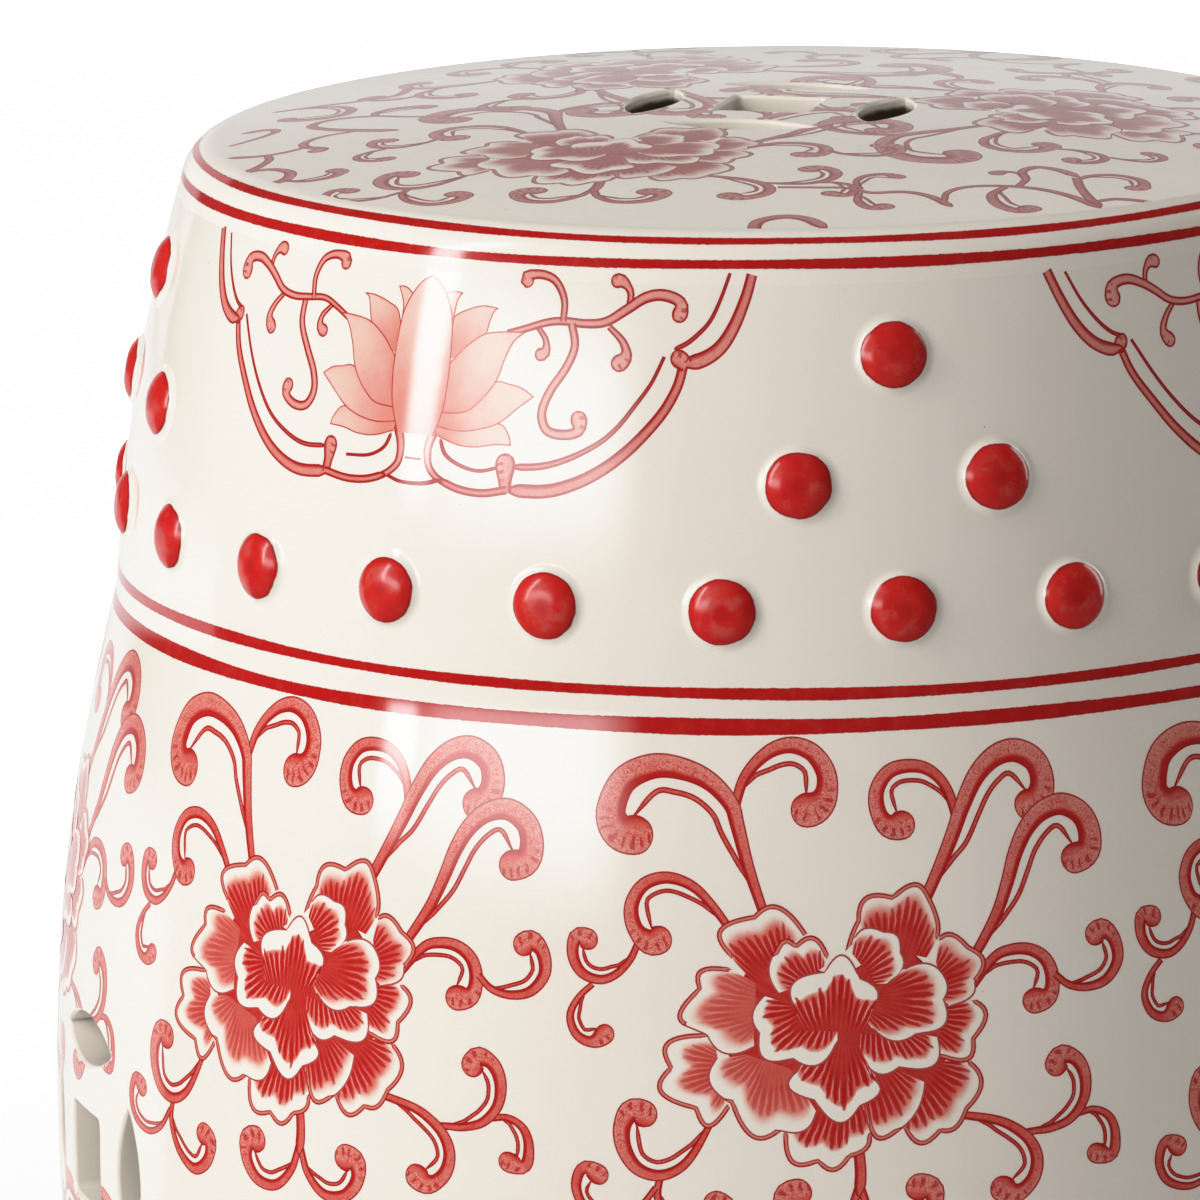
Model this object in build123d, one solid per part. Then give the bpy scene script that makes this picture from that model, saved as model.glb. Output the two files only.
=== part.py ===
from build123d import *
import math
import os

# A barrel-shaped porcelain garden stool, in millimetres.
# The origin is the centre of the foot on the floor, +Z is up, and the two
# pierced handles look along -X and +X. Azimuths turn from -Y towards +X.

# Overall form
STOOL_HEIGHT = 457.0
BELLY_DIAMETER = 330.0
COLLAR_DIAMETER = 300.0
RIM_DIAMETER = 260.8
SHOULDER_HEIGHT = 112.0
SHOULDER_BULGE = 3.2
SEAT_RISE = 7.2
RIM_ROUND = 9.0

# Clay thicknesses
WALL = 8.0
SEAT_THICKNESS = 10.0

# Luted joints, where the seat and the foot ring fit into the ends of the wall
SEAT_SKIRT = 10.0
FOOT_HEIGHT = 16.0
LIP_DEPTH = 8.0
LIP_WIDTH = 8.0
LUTE_CLEARANCE = 0.3

# Foot ring
FOOT_RISE = 7.0
FOOT_TUCK = 6.0
FOOT_TREAD = 14.0
FOOT_INNER_ROUND = 2.0

# Pierced cash-coin motif: a square with a pointed leaf on each side
COIN_SQUARE = 21.0
LEAF_LENGTH = 34.0
LEAF_WIDTH = 11.0
LEAF_OFFSET = 27.0
HANDLE_HEIGHT = 228.5
SEAT_COIN_AZIMUTH = -34.5

# Drum-nail bosses: a full row by each collar, and above it pairs and single peaks
BOSS_DIAMETER = 14.5
BOSS_HEIGHT = 4.0
BOSS_ROW_COUNT = 24
BOSS_GROUP_COUNT = 4
BOSS_GROUP_AZIMUTH = -9.0
BOSS_PAIR_SPREAD = 17.2
BOSS_ROW_RISE = 27.0
BOSS_TIER_STEP = 26.5

# Heights and radii that follow from the sizes above
BELLY_R = BELLY_DIAMETER / 2
COLLAR_R = COLLAR_DIAMETER / 2
RIM_R = RIM_DIAMETER / 2
RIM_Z = STOOL_HEIGHT - SEAT_RISE
UPPER_COLLAR_Z = STOOL_HEIGHT - SHOULDER_HEIGHT
LOWER_COLLAR_Z = SHOULDER_HEIGHT
SEAT_SEAM_Z = RIM_Z - SEAT_SKIRT


class Bow:
    """A shallow arc of the outer profile between two (radius, height) ends.

    A bulge above zero bends it outwards, and one below zero bends it inwards.
    """

    def __init__(self, low, high, bulge):
        run = math.hypot(high[0] - low[0], high[1] - low[1])
        out_r = (high[1] - low[1]) / run
        out_z = (low[0] - high[0]) / run
        self.side = math.copysign(1, bulge)
        self.curve_r = (run * run / 4 + bulge * bulge) / (2 * abs(bulge))
        back = self.side * self.curve_r - bulge
        self.centre_r = (low[0] + high[0]) / 2 - back * out_r
        self.centre_z = (low[1] + high[1]) / 2 - back * out_z

    def radius(self, z):
        """Outer radius of the stool at height z."""
        half_chord = math.sqrt(self.curve_r ** 2 - (z - self.centre_z) ** 2)
        return self.centre_r + self.side * half_chord

    def lean(self, z):
        """Angle in degrees by which the wall's outward normal looks up at height z."""
        return math.degrees(math.asin(self.side * (z - self.centre_z) / self.curve_r))

    def arc(self, z_from, z_to, inset=0.0):
        """The stretch between two heights, moved in towards the axis by inset."""
        heights = (z_from, (z_from + z_to) / 2, z_to)
        points = [(self.radius(z) - inset, z) for z in heights]
        return ThreePointArc(*points)


BODY = Bow((COLLAR_R, LOWER_COLLAR_Z), (COLLAR_R, UPPER_COLLAR_Z), BELLY_R - COLLAR_R)
UPPER_SHOULDER = Bow((COLLAR_R, UPPER_COLLAR_Z), (RIM_R, RIM_Z), SHOULDER_BULGE)
LOWER_SHOULDER = Bow((RIM_R, FOOT_RISE), (COLLAR_R, LOWER_COLLAR_Z), SHOULDER_BULGE)


def turned(edges):
    """Close a profile given as joined edges of (radius, height) and turn it about Z."""
    face = make_face([Plane.XZ * edge for edge in edges])
    return revolve(face, Axis.Z)


def path(*points):
    """Straight profile edges through the given (radius, height) points."""
    return [Line(a, b) for a, b in zip(points, points[1:])]


def leaf(length, width):
    """A pointed leaf lying along X."""
    tips = ((-length / 2, 0), (length / 2, 0))
    upper = ThreePointArc(tips[0], (0, width / 2), tips[1])
    lower = ThreePointArc(tips[1], (0, -width / 2), tips[0])
    return make_face([upper, lower])


def coin_sketch():
    """The square and its four leaves, centred on the origin."""
    leaves = [
        Rot(0, 0, 90 * side) * Pos(0, LEAF_OFFSET) * leaf(LEAF_LENGTH, LEAF_WIDTH)
        for side in range(4)
    ]
    return Sketch() + [Rectangle(COIN_SQUARE, COIN_SQUARE)] + leaves


def dome_points(crown_z, rise):
    """Middle and end of a dome's arc, from its edge at the rim in to the axis."""
    return (RIM_R / 2, crown_z - rise / 4), (0, crown_z)


def barrel_wall():
    """The hollow bulging wall with a coin handle pierced through each side."""
    foot_r = LOWER_SHOULDER.radius(FOOT_HEIGHT)
    seam_r = UPPER_SHOULDER.radius(SEAT_SEAM_Z)
    shell = turned([
        LOWER_SHOULDER.arc(FOOT_HEIGHT, LOWER_COLLAR_Z),
        BODY.arc(LOWER_COLLAR_Z, UPPER_COLLAR_Z),
        UPPER_SHOULDER.arc(UPPER_COLLAR_Z, SEAT_SEAM_Z),
        Line((seam_r, SEAT_SEAM_Z), (seam_r - WALL, SEAT_SEAM_Z)),
        UPPER_SHOULDER.arc(SEAT_SEAM_Z, UPPER_COLLAR_Z, WALL),
        BODY.arc(UPPER_COLLAR_Z, LOWER_COLLAR_Z, WALL),
        LOWER_SHOULDER.arc(LOWER_COLLAR_Z, FOOT_HEIGHT, WALL),
        Line((foot_r - WALL, FOOT_HEIGHT), (foot_r, FOOT_HEIGHT)),
    ])
    handle = Plane.YZ * Pos(0, HANDLE_HEIGHT) * coin_sketch()
    return shell - extrude(handle, BELLY_R + COLLAR_R, both=True)


def seat_top():
    """The domed seat with its rounded rim, a lip below it and the coin pierced through."""
    seam_r = UPPER_SHOULDER.radius(SEAT_SEAM_Z)
    lip_r = seam_r - WALL - LUTE_CLEARANCE
    lip_z = SEAT_SEAM_Z - LIP_DEPTH
    under_r = lip_r - LIP_WIDTH
    under_z = RIM_Z - SEAT_THICKNESS
    under_crown = STOOL_HEIGHT - SEAT_THICKNESS
    under_middle = (under_r / 2, under_crown - (under_crown - under_z) / 4)
    seat = turned([
        UPPER_SHOULDER.arc(SEAT_SEAM_Z, RIM_Z),
        ThreePointArc((RIM_R, RIM_Z), *dome_points(STOOL_HEIGHT, SEAT_RISE)),
        Line((0, STOOL_HEIGHT), (0, under_crown)),
        ThreePointArc((0, under_crown), under_middle, (under_r, under_z)),
        *path((under_r, under_z), (under_r, lip_z), (lip_r, lip_z), (lip_r, SEAT_SEAM_Z),
              (seam_r, SEAT_SEAM_Z)),
    ])
    rim = seat.edges().filter_by(GeomType.CIRCLE).sort_by(lambda edge: abs(edge.center().Z - RIM_Z))[0]
    seat = fillet(rim, RIM_ROUND)
    coin = Rot(0, 0, SEAT_COIN_AZIMUTH) * coin_sketch()
    return seat - extrude(coin, STOOL_HEIGHT)


def foot_ring():
    """The unglazed ring that the stool stands on, with a lip up inside the wall."""
    seam_r = LOWER_SHOULDER.radius(FOOT_HEIGHT)
    lip_r = seam_r - WALL - LUTE_CLEARANCE
    tread_r = RIM_R - FOOT_TUCK
    inner_r = tread_r - FOOT_TREAD
    lip_z = FOOT_HEIGHT + LIP_DEPTH
    heel = TangentArc((RIM_R, FOOT_RISE), (tread_r, 0), tangent=(0, -1))
    ring = turned([
        Line((lip_r, FOOT_HEIGHT), (seam_r, FOOT_HEIGHT)),
        LOWER_SHOULDER.arc(FOOT_HEIGHT, FOOT_RISE),
        heel,
        *path((tread_r, 0), (inner_r, 0), (inner_r, lip_z), (lip_r, lip_z), (lip_r, FOOT_HEIGHT)),
    ])
    inner = ring.edges().filter_by(GeomType.CIRCLE).filter_by(lambda edge: edge.radius < inner_r + 0.01)
    return fillet(inner, FOOT_INNER_ROUND)


def boss(bow, z):
    """One domed stud with a flat back, pressed on to the wall at height z on the -Y side."""
    base_r = BOSS_DIAMETER / 2
    cap_r = (base_r ** 2 + BOSS_HEIGHT ** 2) / (2 * BOSS_HEIGHT)
    half_angle = math.asin(base_r / cap_r) / 2
    shoulder = (cap_r * math.sin(half_angle), BOSS_HEIGHT - cap_r * (1 - math.cos(half_angle)))
    stud = turned([
        ThreePointArc((base_r, 0), shoulder, (0, BOSS_HEIGHT)),
        *path((0, BOSS_HEIGHT), (0, 0), (base_r, 0)),
    ])
    return Pos(0, -bow.radius(z), z) * Rot(90 - bow.lean(z), 0, 0) * stud


def boss_ring(bow, z, azimuths):
    """Copies of one boss round the stool, as separate solids."""
    stud = boss(bow, z)
    return Compound(children=[Rot(0, 0, azimuth) * stud for azimuth in azimuths])


def boss_azimuths():
    """Azimuths of the full row, of the pairs and of the peaks."""
    groups = [BOSS_GROUP_AZIMUTH + 360 * n / BOSS_GROUP_COUNT for n in range(BOSS_GROUP_COUNT)]
    row = [BOSS_GROUP_AZIMUTH + 360 * n / BOSS_ROW_COUNT for n in range(BOSS_ROW_COUNT)]
    pairs = [middle + side * BOSS_PAIR_SPREAD / 2 for middle in groups for side in (-1, 1)]
    return row, pairs, groups


def bosses():
    """The boss rings of both shoulders, by node name."""
    shoulders = (
        ("upper", UPPER_SHOULDER, UPPER_COLLAR_Z, 1),
        ("lower", LOWER_SHOULDER, LOWER_COLLAR_Z, -1),
    )
    rings = {}
    for name, bow, collar_z, way in shoulders:
        for tier, (kind, azimuths) in enumerate(zip(("row", "pairs", "peaks"), boss_azimuths())):
            z = collar_z + way * (BOSS_ROW_RISE + tier * BOSS_TIER_STEP)
            rings[f"{name}_boss_{kind}"] = boss_ring(bow, z, azimuths)
    return rings


def main():
    """Build every piece and write each to its own file."""
    pieces = {"barrel_wall": barrel_wall(), "seat_top": seat_top(), "foot_ring": foot_ring()}
    pieces.update(bosses())
    os.makedirs("parts", exist_ok=True)
    for name, piece in pieces.items():
        export_step(piece, f"parts/{name}.step")


main()
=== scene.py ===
"""Dresses a barrel-shaped porcelain garden stool.

Cream glaze, red drum-nail bosses, ringed lines, lotus panels and peony sprays.
"""

import logging
import math
from dataclasses import dataclass, field, replace
from enum import Enum
from functools import cached_property
from typing import Any, Callable, Sequence, Union

import bpy
from mathutils import Matrix, Vector
from mathutils.geometry import delaunay_2d_cdt


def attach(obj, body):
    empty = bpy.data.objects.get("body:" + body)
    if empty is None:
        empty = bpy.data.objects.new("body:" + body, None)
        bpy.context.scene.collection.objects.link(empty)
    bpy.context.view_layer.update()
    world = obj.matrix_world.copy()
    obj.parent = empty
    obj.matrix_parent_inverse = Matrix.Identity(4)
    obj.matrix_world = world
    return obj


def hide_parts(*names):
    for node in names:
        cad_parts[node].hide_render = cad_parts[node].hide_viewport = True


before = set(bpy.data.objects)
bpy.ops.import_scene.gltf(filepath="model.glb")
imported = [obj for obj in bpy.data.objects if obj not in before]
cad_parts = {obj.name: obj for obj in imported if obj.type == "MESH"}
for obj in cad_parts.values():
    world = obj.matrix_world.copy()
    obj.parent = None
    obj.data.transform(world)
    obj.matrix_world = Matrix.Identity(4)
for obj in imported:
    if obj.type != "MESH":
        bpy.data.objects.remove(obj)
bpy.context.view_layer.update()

LOG = logging.getLogger("garden_stool")
MM = 0.001

Pair = tuple[float, float]
Triple = tuple[float, float, float]
Row = tuple[float, float, float, float]
Spot = tuple[Vector, Vector]
Placer = Callable[[float, float], Spot]
Marks = dict[str, float]
Cell = tuple[float, float, Pair, Marks]
UNMARKED: Marks = {}


def turned(row: Row, turn: float) -> Spot:
    """A row (radius, height, normal out, normal up) of a turned outline, at an angle from -Y."""
    radius, z, out, up = row
    side, front = math.sin(turn), -math.cos(turn)
    return Vector((radius * side, radius * front, z)), Vector((out * side, out * front, up))


# Forms of the stool


@dataclass(frozen=True)
class Bow:
    """A shallow outward arc of the outline between two (radius, height) ends, in mm."""

    low: Pair
    high: Pair
    bulge: float

    @cached_property
    def circle(self) -> Triple:
        """Centre radius, centre height and curve radius."""
        across, up = self.high[0] - self.low[0], self.high[1] - self.low[1]
        run = math.hypot(across, up)
        curve = (run * run / 4 + self.bulge ** 2) / (2 * self.bulge)
        back = (curve - self.bulge) / run
        middle = ((self.low[0] + self.high[0]) / 2, (self.low[1] + self.high[1]) / 2)
        return middle[0] - back * up, middle[1] + back * across, curve

    def radius(self, z: float) -> float:
        """Outer radius at height z."""
        centre_r, centre_z, curve = self.circle
        return centre_r + math.sqrt(curve ** 2 - (z - centre_z) ** 2)


@dataclass(frozen=True)
class StoolForm:
    """The turned form that every piece is laid on, in mm, with azimuths from -Y towards +X."""

    height: float = 457.0
    belly: float = 165.0
    collar: float = 150.0
    rim: float = 130.4
    shoulder: float = 112.0
    bulge: float = 3.2
    rise: float = 7.2
    rim_round: float = 9.0
    wall: float = 8.0
    foot_rise: float = 7.0
    crease: float = 0.30
    creep: float = 4.5
    dome_rows: int = 60
    rim_rows: int = 24

    @cached_property
    def bows(self) -> tuple[Bow, Bow, Bow]:
        """The lower shoulder, the body and the upper shoulder, each collar a little way up its shoulder."""
        top = self.height - self.shoulder
        body = Bow((self.collar, self.shoulder), (self.collar, top), self.belly - self.collar)
        edge = body.radius(top + self.creep)
        return (
            Bow((self.rim, self.foot_rise), (edge, self.shoulder - self.creep), self.bulge),
            body,
            Bow((edge, top + self.creep), (self.rim, self.height - self.rise), self.bulge),
        )

    def radius(self, z: float) -> float:
        """Outer radius at height z, with the glaze softening both collars."""
        body = self.bows[1].radius(z)
        shoulder = self.bows[2 if z > self.height / 2 else 0].radius(z)
        return (body + shoulder) / 2 + math.hypot((body - shoulder) / 2, self.crease)

    @cached_property
    def table(self) -> list[Pair]:
        """Radius and lean of the wall for each half millimetre of height."""
        rows = []
        for step in range(int(self.height * 2) + 2):
            z = step / 2
            slope = (self.radius(z - 0.1) - self.radius(z + 0.1)) / 0.2
            rows.append((self.radius(z), math.atan(slope)))
        return rows

    def wall_at(self, z: float) -> Pair:
        """Radius at height z, and the angle by which the wall's normal looks up."""
        place = min(max(z, 0.0), self.height) * 2
        low = int(place)
        part = place - low
        a, b = self.table[low], self.table[low + 1]
        return a[0] + (b[0] - a[0]) * part, a[1] + (b[1] - a[1]) * part

    def wall_spot(self, azimuth: float, z: float, lift: float = 0.0) -> Spot:
        """A place on the outer wall.

        Args:
            azimuth: degrees from -Y towards +X.
            z: height in mm.
            lift: how far outside the wall, in mm.
        Returns:
            The point and its outward normal.
        """
        radius, lean = self.wall_at(z)
        point, normal = turned((radius, z, math.cos(lean), math.sin(lean)), math.radians(azimuth))
        return point + normal * lift, normal

    @cached_property
    def dome(self) -> float:
        """Curve radius of the domed seat."""
        return (self.rim ** 2 + self.rise ** 2) / (2 * self.rise)

    @cached_property
    def rim_centre(self) -> Pair:
        """Centre (radius, height) of the rounded rim between the dome and the shoulder."""
        side_r, side_z, curve = self.bows[2].circle
        dome_z = self.height - self.dome
        to_dome, to_side = self.dome - self.rim_round, curve - self.rim_round
        gap = math.hypot(side_r, side_z - dome_z)
        along = (to_dome ** 2 - to_side ** 2 + gap ** 2) / (2 * gap)
        off = math.sqrt(to_dome ** 2 - along ** 2)
        unit = (side_r / gap, (side_z - dome_z) / gap)
        return along * unit[0] + off * abs(unit[1]), dome_z + along * unit[1] + off * abs(unit[0])

    @cached_property
    def outline(self) -> list[Row]:
        """The whole outer outline from the crown to the foot."""
        centre_r, centre_z = self.rim_centre
        dome_z = self.height - self.dome
        start = math.atan2(centre_z - dome_z, centre_r)
        side_r, side_z, _ = self.bows[2].circle
        end = math.atan2(centre_z - side_z, centre_r - side_r)
        rows = []
        for step in range(self.dome_rows + 1):
            turn = math.pi / 2 - (math.pi / 2 - start) * step / self.dome_rows
            out, up = math.cos(turn), math.sin(turn)
            rows.append((self.dome * out, dome_z + self.dome * up, out, up))
        for step in range(1, self.rim_rows + 1):
            turn = start + (end - start) * step / self.rim_rows
            out, up = math.cos(turn), math.sin(turn)
            rows.append((centre_r + self.rim_round * out, centre_z + self.rim_round * up, out, up))
        z = math.floor(rows[-1][1])
        while z >= self.foot_rise:
            radius, lean = self.wall_at(z)
            rows.append((radius, z, math.cos(lean), math.sin(lean)))
            z -= 1.0
        return rows

    def outline_at(self, z: float, along: float = 0.0) -> Row:
        """The outline's row at height z, moved down along the outline.

        Args:
            z: height in mm, on the rim or below it.
            along: distance along the outline, towards the foot, in mm.
        Returns:
            The row there.
        """
        rows = self.outline
        first = next(n for n in range(len(rows) - 1) if rows[n + 1][1] <= z)
        part = (rows[first][1] - z) / max(rows[first][1] - rows[first + 1][1], 1e-9)
        run = math.dist(rows[first][:2], rows[first + 1][:2])
        left = part * run + along
        while left > run and first < len(rows) - 2:
            left -= run
            first += 1
            run = math.dist(rows[first][:2], rows[first + 1][:2])
        while left < 0 and first > 0:
            first -= 1
            run = math.dist(rows[first][:2], rows[first + 1][:2])
            left += run
        part = left / run
        return tuple(a + (b - a) * part for a, b in zip(rows[first], rows[first + 1]))

    def seat_spot(self, x: float, y: float, lift: float = 0.0) -> Spot:
        """A place on the domed seat or on the top of its rounded rim.

        Args:
            x: mm along X.
            y: mm along Y.
            lift: how far above the seat, in mm.
        Returns:
            The point and its normal.
        """
        reach = math.hypot(x, y)
        centre_r, centre_z = self.rim_centre
        if reach < self.outline[self.dome_rows][0]:
            out, up = reach / self.dome, math.sqrt(1 - (reach / self.dome) ** 2)
            z = self.height - self.dome + self.dome * up
        else:
            out = min((reach - centre_r) / self.rim_round, 0.98)
            up = math.sqrt(1 - out * out)
            z = centre_z + self.rim_round * up
        normal = Vector((out * x / max(reach, 1e-6), out * y / max(reach, 1e-6), up))
        return Vector((x, y, z)) + normal * lift, normal


@dataclass(frozen=True)
class CoinPiercing:
    """The pierced cash-coin: a square and four pointed leaves, with rounded glazed lips, in mm."""

    square: float = 21.0
    corner: float = 1.6
    leaf_length: float = 34.0
    leaf_width: float = 11.0
    leaf_offset: float = 27.0
    lip: float = 1.0
    seat_turn: float = -34.5

    @cached_property
    def leaf_curve(self) -> float:
        """Radius of a leaf's two sides."""
        return (self.leaf_length ** 2 + self.leaf_width ** 2) / (4 * self.leaf_width)

    @cached_property
    def loops(self) -> list[list[Spot]]:
        """Each opening's outline as points and outward directions, in order."""
        half, inner = self.square / 2, self.square / 2 - self.corner
        square = []
        for quarter in range(4):
            middle = math.radians(90 * quarter + 45)
            centre = Vector((math.copysign(inner, math.cos(middle)), math.copysign(inner, math.sin(middle))))
            for step in range(5):
                turn = math.radians(90 * quarter + 22.5 * step)
                out = Vector((math.cos(turn), math.sin(turn)))
                square.append((centre + out * self.corner, out))
            after = math.radians(90 * quarter + 90)
            out = Vector((math.cos(after), math.sin(after)))
            side = Vector((-out.y, out.x))
            for step in range(1, 9):
                square.append((out * half + side * inner * (2 * step / 9 - 1), out))
        spread = math.asin(self.leaf_length / 2 / self.leaf_curve)
        back = self.leaf_curve - self.leaf_width / 2
        found = [square]
        for quarter in range(4):
            spin = Matrix.Rotation(math.radians(90 * quarter), 2)
            leaf = []
            for way in (1, -1):
                for step in range(23):
                    turn = math.pi / 2 * way - spread + 2 * spread * step / 23
                    out = Vector((math.cos(turn), math.sin(turn)))
                    point = out * self.leaf_curve + Vector((0, self.leaf_offset - back * way))
                    if step == 0:
                        out = Vector((way, 0))
                    leaf.append((spin @ point, spin @ out))
            found.append(leaf)
        return found

    def gap(self, u: float, v: float) -> float:
        """Distance outside the nearest opening, below zero inside one."""
        best = max(abs(u), abs(v)) - self.square / 2
        back = self.leaf_curve - self.leaf_width / 2
        for x, y in ((u, v), (v, -u), (-u, -v), (-v, u)):
            far = max(math.hypot(x, y - self.leaf_offset - back), math.hypot(x, y - self.leaf_offset + back))
            best = min(best, far - self.leaf_curve)
        return best


FORM = StoolForm()
COIN = CoinPiercing()


# Gathering a piece's points and faces


@dataclass
class Sheet:
    """Points, normals, painted marks and faces of one piece, gathered in mm."""

    name: str
    points: list[Vector] = field(default_factory=list)
    normals: list[Vector] = field(default_factory=list)
    marks: list[Marks] = field(default_factory=list)
    flat: list[Pair] = field(default_factory=list)
    islands: list[int] = field(default_factory=list)
    pierced: list[bool] = field(default_factory=list)
    faces: list[tuple[int, ...]] = field(default_factory=list)
    finish_of: list[int] = field(default_factory=list)
    island: int = 0

    def add(self, spot: Spot, flat: Pair = (0.0, 0.0), marks: Marks = UNMARKED, pierced: bool = False) -> int:
        """Adds one point.

        Args:
            spot: the point and its normal.
            flat: its place on the current unrolled island, in mm.
            marks: its painted values, by name.
            pierced: whether it lies over an opening.
        Returns:
            Its number.
        """
        self.points.append(spot[0])
        self.normals.append(spot[1])
        self.marks.append(marks)
        self.flat.append(flat)
        self.islands.append(self.island)
        self.pierced.append(pierced)
        return len(self.points) - 1

    def face(self, corners: Sequence[int], finish: int = 0) -> None:
        """Adds one face, turned to look the way its points' normals do, unless an opening swallows it."""
        if all(self.pierced[n] for n in corners):
            return
        a, b, c = (self.points[n] for n in corners[:3])
        out = (b - a).cross(c - a)
        if len(corners) == 4:
            out += (c - a).cross(self.points[corners[3]] - a)
        if out.dot(self.normals[corners[0]] + self.normals[corners[2]]) < 0:
            corners = corners[::-1]
        self.faces.append(tuple(corners))
        self.finish_of.append(finish)

    def quads(self, rows: Sequence[Sequence[int]], finish: int = 0, closed: bool = False) -> None:
        """Joins neighbouring rows of points with faces, round to the start if closed."""
        for near, far in zip(rows, rows[1:]):
            count = len(near)
            for n in range(count if closed else count - 1):
                m = (n + 1) % count
                self.face((near[n], near[m], far[m], far[n]), finish)

    def unrolled(self) -> list[Pair]:
        """Packs the islands into rows of one square and returns each point's place there."""
        boxes: dict[int, list[float]] = {}
        for n, (u, v) in zip(self.islands, self.flat):
            box = boxes.setdefault(n, [u, v, u, v])
            boxes[n] = [min(box[0], u), min(box[1], v), max(box[2], u), max(box[3], v)]
        pad, slack = 0.8, 1.12
        sizes = {n: (b[2] - b[0] + pad, b[3] - b[1] + pad) for n, b in boxes.items()}
        area = sum(w * h for w, h in sizes.values())
        width = max(math.sqrt(area * slack), max(w for w, _ in sizes.values()))
        corners: dict[int, Pair] = {}
        x = y = tall = 0.0
        for n in sorted(sizes, key=lambda key: -sizes[key][1]):
            if x + sizes[n][0] > width + 1e-6:
                x, y, tall = 0.0, y + tall, 0.0
            corners[n] = (x + pad / 2 - boxes[n][0], y + pad / 2 - boxes[n][1])
            x, tall = x + sizes[n][0], max(tall, sizes[n][1])
        side = max(width, y + tall)
        return [((u + corners[n][0]) / side, (v + corners[n][1]) / side)
                for n, (u, v) in zip(self.islands, self.flat)]

    def make(self, *materials: bpy.types.Material) -> bpy.types.Object:
        """Turns the sheet into an object in metres that wears the given materials."""
        mesh = bpy.data.meshes.new(self.name)
        mesh.from_pydata([tuple(point * MM) for point in self.points], [], self.faces)
        for material in materials:
            mesh.materials.append(material)
        mesh.polygons.foreach_set("material_index", self.finish_of)
        mesh.polygons.foreach_set("use_smooth", [True] * len(self.faces))
        for name in sorted({name for marks in self.marks for name in marks}):
            values = [marks.get(name, 0.0) for marks in self.marks]
            mesh.attributes.new(name, "FLOAT", "POINT").data.foreach_set("value", values)
        if self.island:
            places = self.unrolled()
            layer = mesh.uv_layers.new(name="OFBake")
            corners = [0] * len(mesh.loops)
            mesh.loops.foreach_get("vertex_index", corners)
            layer.data.foreach_set("uv", [part for n in corners for part in places[n]])
        mesh.normals_split_custom_set_from_vertices([tuple(normal.normalized()) for normal in self.normals])
        piece = bpy.data.objects.new(self.name, mesh)
        bpy.context.scene.collection.objects.link(piece)
        return piece


# Shader maths


Feed = Union["Sock", float, Sequence[float]]


class Sock:
    """A node's output that can be used in plain sums, each of which adds a Math node."""

    def __init__(self, recipe: "Recipe", out: bpy.types.NodeSocket) -> None:
        """Keeps the output and the recipe that its nodes go into."""
        self.recipe = recipe
        self.out = out

    def sum(self, operation: str, *others: Feed, clamp: bool = False) -> "Sock":
        """One Math node on this value and the others."""
        return self.recipe.node("ShaderNodeMath", {"operation": operation, "use_clamp": clamp},
                                dict(enumerate((self, *others))))

    def __add__(self, other: Feed) -> "Sock":
        """Sum."""
        return self.sum("ADD", other)

    __radd__ = __add__

    def __sub__(self, other: Feed) -> "Sock":
        """Difference."""
        return self.sum("SUBTRACT", other)

    def __rsub__(self, other: float) -> "Sock":
        """Difference from a number."""
        return self.recipe.node("ShaderNodeMath", {"operation": "SUBTRACT"}, {0: other, 1: self})

    def __mul__(self, other: Feed) -> "Sock":
        """Product."""
        return self.sum("MULTIPLY", other)

    __rmul__ = __mul__

    def __truediv__(self, other: Feed) -> "Sock":
        """Quotient."""
        return self.sum("DIVIDE", other)

    def __rtruediv__(self, other: float) -> "Sock":
        """Quotient of a number by this value."""
        return self.recipe.node("ShaderNodeMath", {"operation": "DIVIDE"}, {0: other, 1: self})

    def clamped(self) -> "Sock":
        """Held between 0 and 1."""
        return self.sum("ADD", 0.0, clamp=True)

    def ramp(self, low: Feed, high: Feed) -> "Sock":
        """A smooth step from 0 at low to 1 at high."""
        return self.recipe.node("ShaderNodeMapRange", {"interpolation_type": "SMOOTHSTEP"},
                                {"Value": self, "From Min": low, "From Max": high})


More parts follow.
